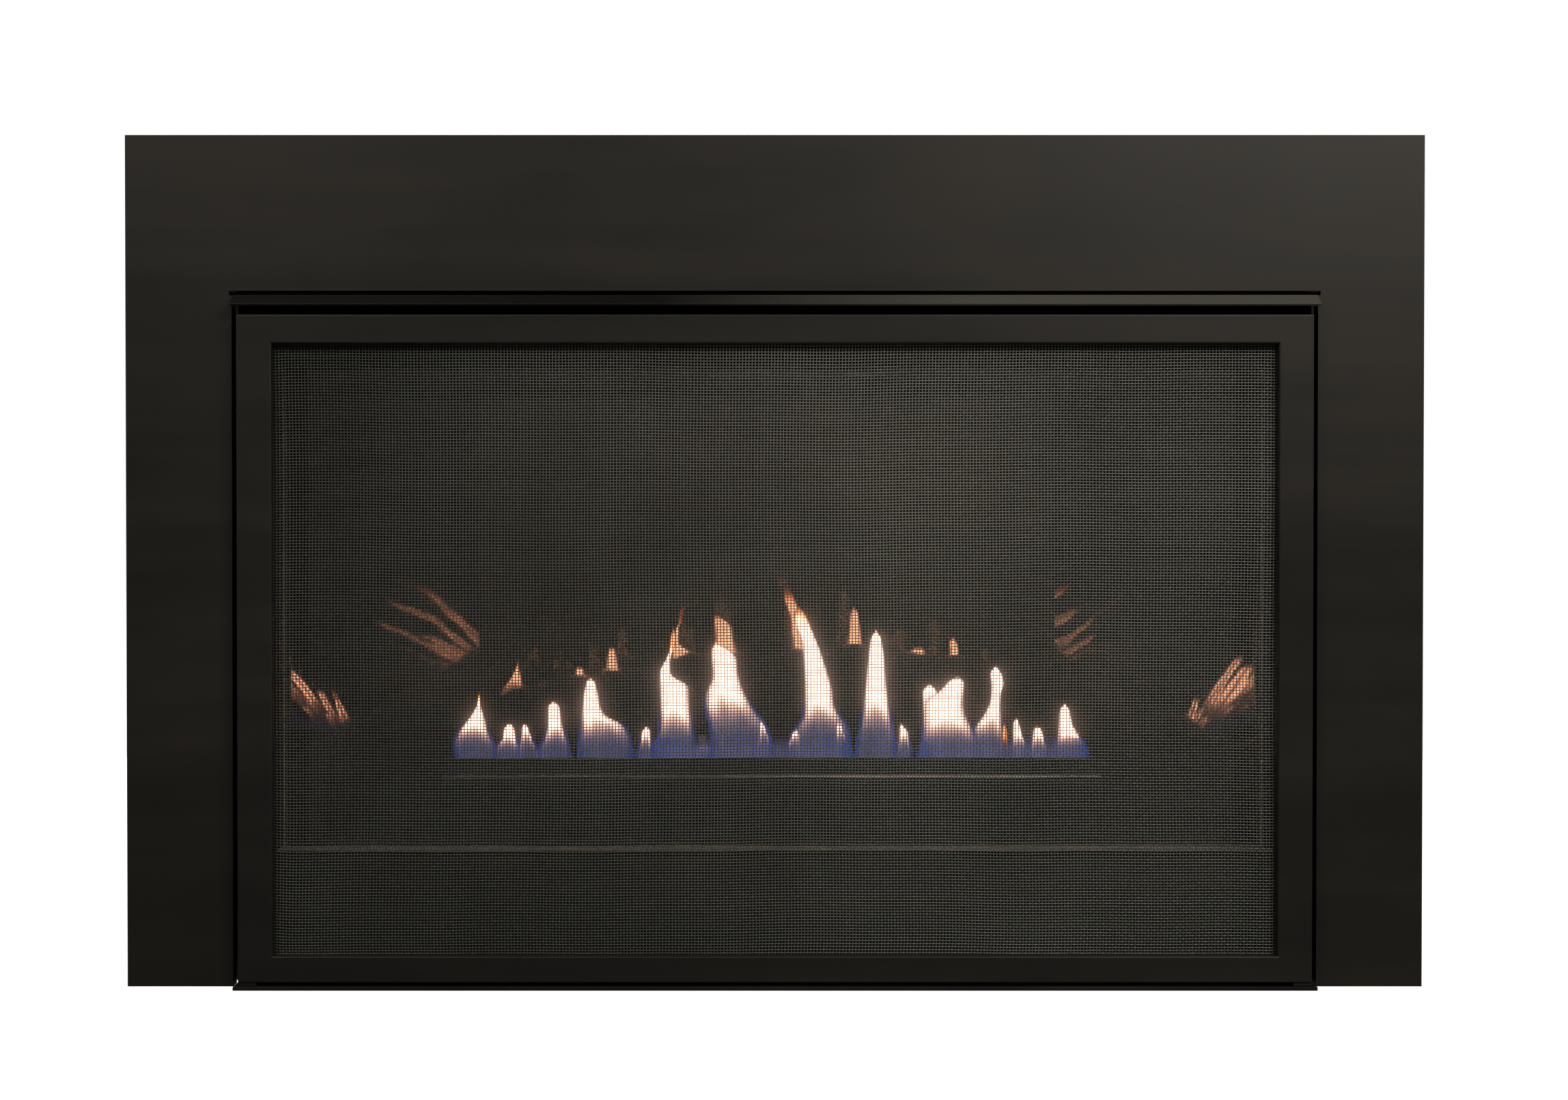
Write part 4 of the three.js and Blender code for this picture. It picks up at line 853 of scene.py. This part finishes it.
def dress_nodes():
    for part in frame["record"]["subparts"]:
        node = frame["nodes"][part["node"]]
        finish = OWN_FINISHES.get(part["node"], FINISHES[part["material_slot"]])
        node.data.materials.clear()
        node.data.materials.append(finish)
        normals = node.data.attributes.get("custom_normal")
        if normals:
            node.data.attributes.remove(normals)
        node.data.polygons.foreach_set("use_smooth", [True] * len(node.data.polygons))
        softened(node, EDGE_WIDTHS.get(part["node"], EDGE_WIDTH))
    # The clear pane casts no shadow
    frame["nodes"]["glass_pane"].visible_shadow = False


dress_nodes()


# Safety screen


def frame_profile(width, depth):
    """The folded sheet's closed outline: distance from the outer edge, depth from the face."""
    turns = [math.pi / 2 * step / FRAME_BEND_STEPS for step in range(FRAME_BEND_STEPS + 1)]
    back_turns = turns[::-1]
    right = width - FRAME_BEND
    tight = FRAME_BEND - FRAME_SHEET

    def left_bend(radius, angles):
        return [
            (FRAME_BEND - radius * math.cos(angle), FRAME_BEND - radius * math.sin(angle))
            for angle in angles
        ]

    def right_bend(radius, angles):
        return [
            (right + radius * math.sin(angle), FRAME_BEND - radius * math.cos(angle))
            for angle in angles
        ]

    outer = [(0.0, depth), *left_bend(FRAME_BEND, turns), *right_bend(FRAME_BEND, turns)]
    ends = [(width, FRAME_RETURN), (width - FRAME_SHEET, FRAME_RETURN)]
    inner = [*right_bend(tight, back_turns), *left_bend(tight, back_turns), (FRAME_SHEET, depth)]
    return outer + ends + inner


def mitred_frame(name, outer, inner, front, depth):
    """A folded frame round an opening, its profile stretched to each side's width and mitred."""
    left, low, right, high = ((far, near - far) for far, near in zip(outer, inner))
    corners = ((left, low), (right, low), (right, high), (left, high))
    width = left[1]
    profile = frame_profile(width, depth)
    points = []
    for (x, across), (z, up) in corners:
        for reach, back in profile:
            share = reach / width
            points.append((x + across * share, front + back, z + up * share))
    return mesh_of(name, points, ring_faces(len(corners), len(profile), closed=True))


def drift(waves, across, up):
    """How far the cloth is shifted in its own plane, as a sum of slow waves."""
    total = sum(
        share * np.sin(per_up * up + per_across * across + phase)
        for share, per_up, per_across, phase in waves
    )
    return CLOTH_WAVE * total


def tubes(lines, radius, sideways):
    """Four-sided tubes along rows of points, with closed ends. sideways is the unit axis across."""
    count, steps = lines.shape[:2]
    around = np.array([
        radius * sideways,
        (0.0, -radius, 0.0),
        -radius * sideways,
        (0.0, radius, 0.0),
    ])
    points = (lines[:, :, None, :] + around[None, None, :, :]).reshape(-1, 3)
    index = np.arange(count * steps * 4).reshape(count, steps, 4)
    here, there = index[:, :-1], index[:, 1:]
    turned_here, turned_there = np.roll(here, -1, axis=2), np.roll(there, -1, axis=2)
    walls = np.stack([here, turned_here, turned_there, there], axis=-1).reshape(-1, 4)
    starts = index[:, 0, ::-1]
    ends = index[:, -1, :]
    return points, np.concatenate([walls, starts, ends])


def woven_cloth():
    """Crimped wires, each over and under the wires that it crosses."""
    low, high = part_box("screen_mesh")
    middle = (low.y + high.y) / 2
    columns = int((high.x - low.x - 4 * WIRE_RADIUS) / WIRE_PITCH_X)
    rows = int((high.z - low.z - 4 * WIRE_RADIUS) / WIRE_PITCH_Z)
    across = (np.arange(columns + 1) - columns / 2) * WIRE_PITCH_X + (low.x + high.x) / 2
    up = (np.arange(rows + 1) - rows / 2) * WIRE_PITCH_Z + (low.z + high.z) / 2
    grid_x, grid_z = np.meshgrid(across, up, indexing="ij")
    edge = np.minimum(
        np.minimum(grid_x - low.x, high.x - grid_x),
        np.minimum(grid_z - low.z, high.z - grid_z),
    )
    held = smooth_step(0.0, CLOTH_HELD, edge)
    odd = (np.arange(columns + 1)[:, None] + np.arange(rows + 1)[None, :]) % 2
    over = np.where(odd, 1.0, -1.0)
    place_x = grid_x + drift(WAVES_SIDEWAYS, grid_x, grid_z) * held
    place_z = grid_z + drift(WAVES_UPWARD, grid_x, grid_z) * held
    upright = np.stack([place_x, middle + WIRE_CRIMP * over, place_z], axis=-1)
    level = np.stack([place_x, middle - WIRE_CRIMP * over, place_z], axis=-1).transpose(1, 0, 2)
    for kind, lines, sideways in (
        ("upright", upright, np.array((1.0, 0.0, 0.0))),
        ("level", level, np.array((0.0, 0.0, -1.0))),
    ):
        for number, part in enumerate(np.array_split(lines, CLOTH_PIECES)):
            name = f"screen_wires_{kind}_{number + 1}"
            mesh = quads_mesh(name, *tubes(part, WIRE_RADIUS, sideways))
            linked(name, mesh, "screen_wire", "screen")
    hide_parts("screen_mesh")


def block(name, low, high, slot, body="insert"):
    """A small square-cornered piece with softened edges."""
    (x0, y0, z0), (x1, y1, z1) = low, high
    points = [(x, y, z) for x in (x0, x1) for y in (y0, y1) for z in (z0, z1)]
    faces = [(0, 1, 3, 2), (4, 6, 7, 5), (0, 4, 5, 1), (2, 3, 7, 6), (0, 2, 6, 4), (1, 5, 7, 3)]
    piece = linked(name, mesh_of(name, points, faces), slot, body, smooth=False)
    softened(piece, EDGE_WIDTH)


def screen_feet(outer, low, high, front, depth):
    """The two folded feet under the stiles."""
    for side, name in ((-1, "screen_foot_left"), (1, "screen_foot_right")):
        near, far = sorted((side * (outer - FOOT_WIDTH), side * outer))
        corner = (near, front + FRAME_BEND, low)
        opposite = (far, front + depth, high + FRAME_SHEET)
        block(name, corner, opposite, "screen_paint", "screen")


def cloth_retainer(inner):
    """The flat strips behind the cloth that clamp its edge to the frame."""
    name = "cloth_retainer"
    left, low, right, high = inner
    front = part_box("screen_mesh")[1].y
    points = []
    for back in (front, front + RETAINER_SHEET):
        for reach in (-RETAINER_OVERLAP, RETAINER_WIDTH - RETAINER_OVERLAP):
            x0, x1 = left - reach, right + reach
            z0, z1 = low - reach, high + reach
            points += [(x0, back, z0), (x1, back, z0), (x1, back, z1), (x0, back, z1)]
    faces = []
    for corner in range(4):
        after = (corner + 1) % 4
        for a, b in ((0, 4), (4, 12), (12, 8), (8, 0)):
            faces.append((a + corner, a + after, b + after, b + corner))
    mesh = mesh_of(name, points, faces)
    softened(linked(name, mesh, "screen_paint", "screen", smooth=False), RETAINER_EDGE)


def screen():
    stile_low, stile_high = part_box("screen_left_stile")
    right_low, right_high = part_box("screen_right_stile")
    top_low, top_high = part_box("screen_top_rail")
    bottom_low, bottom_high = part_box("screen_bottom_rail")
    outer = (stile_low.x, bottom_low.z, right_high.x, top_high.z)
    inner = (stile_high.x, bottom_high.z, right_low.x, top_low.z)
    depth = top_high.y - top_low.y
    mesh = mitred_frame("screen_frame", outer, inner, top_low.y, depth)
    piece = linked("screen_frame", mesh, "screen_paint", "screen", smooth=False)
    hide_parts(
        "screen_top_rail", "screen_bottom_rail", "screen_left_stile", "screen_right_stile"
    )
    softened(piece, FRAME_EDGE, FRAME_EDGE_ANGLE)
    screen_feet(right_high.x, stile_low.z, bottom_low.z, top_low.y, depth)
    cloth_retainer(inner)
    woven_cloth()


screen()


# Fasteners and seams


def screws(name, places):
    """Hexagon washer head screws, each given by the point it sits on and the way it faces."""
    points, faces = [], []
    for spot, facing in places:
        out = Vector(facing).normalized()
        across = out.orthogonal().normalized()
        up = out.cross(across)
        start = len(points)
        for reach, height, hexed in SCREW_PROFILE:
            for side in range(SCREW_SIDES):
                turn = 2 * math.pi * side / SCREW_SIDES
                within = turn % (math.pi / 3) - math.pi / 6
                radius = reach * (math.cos(math.pi / 6) / math.cos(within) if hexed else 1.0)
                points.append(
                    Vector(spot) + out * height
                    + across * radius * math.cos(turn) + up * radius * math.sin(turn)
                )
        faces += ring_faces(len(SCREW_PROFILE), SCREW_SIDES, start)
    linked(name, mesh_of(name, points, faces), "galvanised_steel", smooth=False)


def bead(name, centre, radius, height, slot):
    """A rolled bead round a collar."""
    points = []
    for step in range(BEAD_STEPS):
        turn = 2 * math.pi * step / BEAD_STEPS
        for side in range(BEAD_SIDES):
            tilt = 2 * math.pi * side / BEAD_SIDES
            reach = radius + BEAD_RADIUS * math.cos(tilt)
            points.append((
                centre[0] + reach * math.cos(turn),
                centre[1] + reach * math.sin(turn),
                height + BEAD_RADIUS * math.sin(tilt),
            ))
    rings = ring_faces(BEAD_STEPS, BEAD_SIDES, closed=True)
    faces = [(a, d, c, b) for a, b, c, d in rings]
    linked(name, mesh_of(name, points, faces), slot)


def between(first, last, count):
    return [first + (last - first) * step / (count - 1) for step in range(count)]


def casing_details():
    """Seam strips and screws on the casing's back, and screws along the edges of its top."""
    low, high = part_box("casing_back")
    seam = SEAM_WIDTH
    proud = high.y + SEAM_SHEET
    strips = {
        "seam_back_left": (low.x, low.z + seam, low.x + seam, high.z - seam),
        "seam_back_right": (high.x - seam, low.z + seam, high.x, high.z - seam),
        "seam_back_top": (low.x, high.z - seam, high.x, high.z - SEAM_INSET),
        "seam_back_bottom": (low.x, low.z + SEAM_INSET, high.x, low.z + seam),
    }
    for name, (left, bottom, right, top) in strips.items():
        block(name, (left, high.y, bottom), (right, proud, top), "galvanised_steel")
    middle = seam / 2
    rows = between(low.z + 3 * seam, high.z - 3 * seam, 5)
    columns = between(low.x + middle, high.x - middle, 6)
    places = []
    for x in (low.x + middle, high.x - middle):
        places += [((x, proud, z), BACKWARD) for z in rows]
    for z in (low.z + middle, high.z - middle):
        places += [((x, proud, z), BACKWARD) for x in columns]
    screws("casing_back_screws", places)
    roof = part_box("casing_top")[1]
    rear = between(low.x + seam, high.x - seam, 5)
    front = between(-SCREW_HALF, SCREW_HALF, 6)
    places = [((x, roof.y - seam, roof.z), UPWARD) for x in rear]
    places += [((x, SEAM_FRONT, roof.z), UPWARD) for x in front]
    screws("casing_top_screws", places)


def sealant_beads():
    """Beads of black sealant in the corner where each casing side meets the top."""
    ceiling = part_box("casing_top")[0].z
    for side, name in ((1, "sealant_bead_right"), (-1, "sealant_bead_left")):
        points = []
        for across, along in SEALANT_LINE:
            points.append((side * across, along, ceiling))
            points.append((side * across, along, ceiling - SEALANT_HEIGHT))
            points.append((side * (across - SEALANT_WIDTH), along, ceiling))
        faces = ring_faces(len(SEALANT_LINE), 3) + [(2, 1, 0)]
        if side < 0:
            faces = [face[::-1] for face in faces]
        linked(name, mesh_of(name, points, faces), "black_plastic", smooth=False)


def collar_details():
    slots = {"exhaust_collar": "stainless_steel", "intake_collar": "galvanised_steel"}
    for name, slot in slots.items():
        low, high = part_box(name)
        centre = ((low.x + high.x) / 2, (low.y + high.y) / 2)
        bead(f"{name}_bead", centre, COLLAR_RADIUS, high.z - BEAD_DROP, slot)


casing_details()
sealant_beads()
collar_details()


# Flames


def flame_material():
    """Blue at the burner, then violet, pink and white hot, with an orange tip."""
    shader = Shader("flame")
    flicker = shader.noise(95.0, 2.0, (1.0, 1.0, 0.5))
    flicker = shader.range(flicker, -0.06, 0.06, 0.3, 0.7)
    heat = shader.plus(shader.attribute("hotness"), flicker)
    cool = shader.attribute("cool")
    streak = shader.noise(60.0, 3.0, (2.2, 1.0, 0.35))
    colour = shader.ramp(
        shader.range(heat, 0.0, 1.0, -0.2, 1.0),
        (0.00, (0.08, 0.18, 1.00)),
        (0.13, (0.38, 0.40, 1.00)),
        (0.28, (0.62, 0.56, 1.00)),
        (0.40, (0.98, 0.70, 0.95)),
        (0.52, (1.00, 0.60, 0.62)),
        (0.64, (1.00, 0.55, 0.42)),
        (1.00, (1.00, 0.62, 0.48)),
    )
    tip = shader.mixed(cool, colour, (1.0, 0.30, 0.11, 1.0))
    doublings = shader.math("MAXIMUM", shader.math("MULTIPLY_ADD", heat, *FLAME_DOUBLINGS), 0.0)
    strength = shader.times(shader.math("POWER", 2.0, doublings), FLAME_STRENGTH)
    strength = shader.times(strength, shader.range(cool, 1.0, FLAME_TIP_STRENGTH))
    strength = shader.times(strength, shader.range(streak, 0.80, 1.20, 0.3, 0.7))
    light = {"Color": tip, "Strength": strength}
    shares = {
        "Fac": shader.attribute("veil"),
        1: shader.made("ShaderNodeBsdfTransparent", "BSDF", {}),
        2: shader.made("ShaderNodeEmission", "Emission", light),
    }
    both = shader.made("ShaderNodeMixShader", "Shader", shares)
    shader.give(shader.output.inputs["Surface"], both)
    return shader.material


def flame_body(rows, depth, grow, base):
    """Points and faces of one flame, a lens section at each level, and where each point lies."""
    marks = [(at_pixel(left, row, depth), at_pixel(right, row, depth)) for row, left, right in rows]
    heights = np.array([left.z for left, _ in marks])
    lefts = np.array([left.x for left, _ in marks])
    rights = np.array([right.x for _, right in marks])
    tip = heights[-1] + grow
    quarter = np.linspace(0.0, math.pi / 2, FLAME_LEVELS)
    levels = base + (tip - base) * np.sin(quarter) ** FLAME_CROWDING
    level_left = np.interp(levels, heights, lefts) - grow
    level_right = np.interp(levels, heights, rights) + grow
    for _ in range(FLAME_SMOOTHINGS):
        for line in (level_left, level_right):
            line[1:-1] = (line[:-2] + 2 * line[1:-1] + line[2:]) / 4
    share = (levels - base) / (tip - base)
    narrowing = np.sqrt(np.clip((1.0 - share) / FLAME_TIP_SHARE, FLAME_TIP_LEAST, 1.0))
    centre = (level_left + level_right) / 2
    half = (level_right - level_left) / 2 * narrowing
    thick = np.minimum(half * FLAME_DEPTH_SHARE + FLAME_DEPTH_LEAST, FLAME_DEPTH_MOST) * narrowing
    angles = 2 * math.pi * np.arange(FLAME_SIDES) / FLAME_SIDES
    lateral = np.cos(angles)
    points = np.stack([
        centre[:, None] + half[:, None] * lateral[None, :],
        depth + thick[:, None] * np.sin(angles)[None, :],
        np.repeat(levels[:, None], FLAME_SIDES, axis=1),
    ], axis=-1)
    faces = ring_faces(FLAME_LEVELS, FLAME_SIDES)
    foot = tuple(range(FLAME_SIDES))[::-1]
    faces.insert(-1, foot)
    where = {
        "rise": np.repeat(levels - base, FLAME_SIDES),
        "edge": np.tile(np.abs(lateral), FLAME_LEVELS),
        "from_tip": np.repeat(tip - levels, FLAME_SIDES),
        "tall": tip - base,
    }
    return points.reshape(-1, 3), faces, where


def joined_flames(name, grow, values, material):
    """All the flames in one mesh, with vertex values worked out by the given function."""
    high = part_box("burner_tray")[1]
    base = high.z - FLAME_BASE_DROP
    middle = (FLAME_BED_FRONT + high.y) / 2
    points, faces, found = [], [], []
    start = 0
    for number, (flame, (blue_row, *rows)) in enumerate(FLAMES.items()):
        sway = FLAME_SWAY * math.sin(FLAME_SWAY_STEP * number)
        depth = middle + sway + FLAME_SHIFTS.get(flame, 0.0)
        blue = at_pixel(0.0, blue_row, depth).z - base
        cool = at_pixel(0.0, FLAME_COOL_ROWS.get(flame, rows[-1][0]), depth).z - base
        body, body_faces, where = flame_body(rows, depth, grow, base)
        points.append(body)
        faces += [tuple(corner + start for corner in face) for face in body_faces]
        found.append(values(blue=blue, cool=cool, **where))
        start += len(body)
    mesh = mesh_of(name, np.concatenate(points), faces)
    for key in found[0]:
        layer = mesh.attributes.new(key, "FLOAT", "POINT")
        joined = np.concatenate([one[key] for one in found])
        layer.data.foreach_set("value", joined.astype(np.float32))
    mesh.materials.append(material)
    linked(name, mesh)


def core_values(rise, edge, from_tip, tall, blue, cool):
    """Heat, veil and tip colour of the bright body of a flame."""
    arch = blue * (1.0 - ARCH_DEPTH * edge ** 3)
    heat = np.clip((rise / arch - HEAT_START) / HEAT_RUN, 0.0, 1.0)
    rim = smooth_step(RIM_START, 1.0, edge)
    fade = 0.7 * tall if blue > tall else 0.004 + 0.05 * tall
    tip = smooth_step(0.0, fade, from_tip)
    veil = raised(CORE_VEIL, heat) * (1.0 - smooth_step(0.80, 1.0, edge)) * raised(TIP_VEIL, tip)
    return {
        "hotness": heat * (1.0 - RIM_COOLING * rim) * raised(TIP_HEAT, tip),
        "veil": np.clip(veil, 0.0, 1.0),
        "cool": smooth_step(cool - 0.007, cool + 0.010, rise),
    }


def mantle_values(rise, edge, tall, blue, **_):
    """The thin blue mantle round the lower part of a flame, brightest at its own edge."""
    low = 1.0 - smooth_step(0.7, 1.5, rise / min(blue, tall))
    rim = smooth_step(0.70, 0.97, edge) * (1.0 - smooth_step(0.985, 1.0, edge))
    return {
        "hotness": np.full_like(rise, MANTLE_HEAT),
        "veil": low * (MANTLE_VEIL + MANTLE_RIM * rim),
        "cool": np.zeros_like(rise),
    }


FLAME = flame_material()
joined_flames("flames", 0.0, core_values, FLAME)
joined_flames("flame_mantles", MANTLE_GROWTH, mantle_values, FLAME)


# Stage


def stage_floor():
    """The white floor, which lights nothing and is seen by the camera only."""
    shader = Shader("floor")
    shader.set(
        Base_Color=shader.ramp(
            shader.noise(2.0, 2.0), (0.3, (0.22, 0.22, 0.22)), (0.7, (0.24, 0.24, 0.24))
        ),
        Roughness=0.6,
        Emission_Color=WHITE,
        Emission_Strength=FLOOR_GLOW,
    )
    turns = [2 * math.pi * corner / FLOOR_CORNERS for corner in range(FLOOR_CORNERS)]
    points = [
        (FLOOR_RADIUS * math.cos(turn), FLOOR_RADIUS * math.sin(turn), -FLOOR_DROP)
        for turn in turns
    ]
    mesh = mesh_of("floor", points, [tuple(range(FLOOR_CORNERS))])
    mesh.materials.append(shader.material)
    floor = bpy.data.objects.new("floor", mesh)
    bpy.context.scene.collection.objects.link(floor)
    floor.visible_glossy = False
    floor.visible_diffuse = False
    floor.visible_transmission = False


def softbox(name, place, target, width, height, power, colour, gloss):
    data = bpy.data.lights.new(name, "AREA")
    data.shape = "RECTANGLE"
    data.size = width
    data.size_y = height
    data.energy = power
    data.color = colour
    light = bpy.data.objects.new(name, data)
    bpy.context.scene.collection.objects.link(light)
    light.visible_glossy = gloss
    light.visible_camera = False
    light.location = place
    aim = Vector(target) - Vector(place)
    light.rotation_euler = aim.to_track_quat("-Z", "Y").to_euler()


def studio():
    """The lights, and a world that the camera sees white and that lights the part only faintly."""
    world = bpy.data.worlds.new("world")
    bpy.context.scene.world = world
    world.use_nodes = True
    tree = world.node_tree
    tree.nodes.clear()
    output = tree.nodes.new("ShaderNodeOutputWorld")
    both = tree.nodes.new("ShaderNodeMixShader")
    path = tree.nodes.new("ShaderNodeLightPath")
    seen = tree.nodes.new("ShaderNodeBackground")
    lit = tree.nodes.new("ShaderNodeBackground")
    seen.inputs["Color"].default_value = WHITE
    lit.inputs["Color"].default_value = WORLD_COLOUR
    lit.inputs["Strength"].default_value = WORLD_STRENGTH
    tree.links.new(path.outputs["Is Camera Ray"], both.inputs["Fac"])
    tree.links.new(lit.outputs["Background"], both.inputs[1])
    tree.links.new(seen.outputs["Background"], both.inputs[2])
    tree.links.new(both.outputs["Shader"], output.inputs["Surface"])
    for name, settings in SOFT_LIGHTS.items():
        softbox(name, *settings)
    scene = bpy.context.scene
    scene.view_settings.view_transform = "Standard"
    scene.cycles.sample_clamp_indirect = BOUNCE_CLAMP
    scene.cycles.filter_width = PIXEL_FILTER
    scene.cycles.caustics_reflective = False
    scene.cycles.caustics_refractive = False


def glow():
    """The little light that the lens spreads round the white parts of the flames."""
    scene = bpy.context.scene
    scene.use_nodes = True
    tree = scene.node_tree
    tree.nodes.clear()
    layers = tree.nodes.new("CompositorNodeRLayers")
    glare = tree.nodes.new("CompositorNodeGlare")
    glare.glare_type = "BLOOM"
    glare.inputs["Threshold"].default_value = GLOW_THRESHOLD
    glare.inputs["Size"].default_value = GLOW_SIZE
    glare.inputs["Strength"].default_value = GLOW_STRENGTH
    picture = tree.nodes.new("CompositorNodeComposite")
    tree.links.new(layers.outputs["Image"], glare.inputs["Image"])
    tree.links.new(glare.outputs["Image"], picture.inputs["Image"])


stage_floor()
studio()
glow()
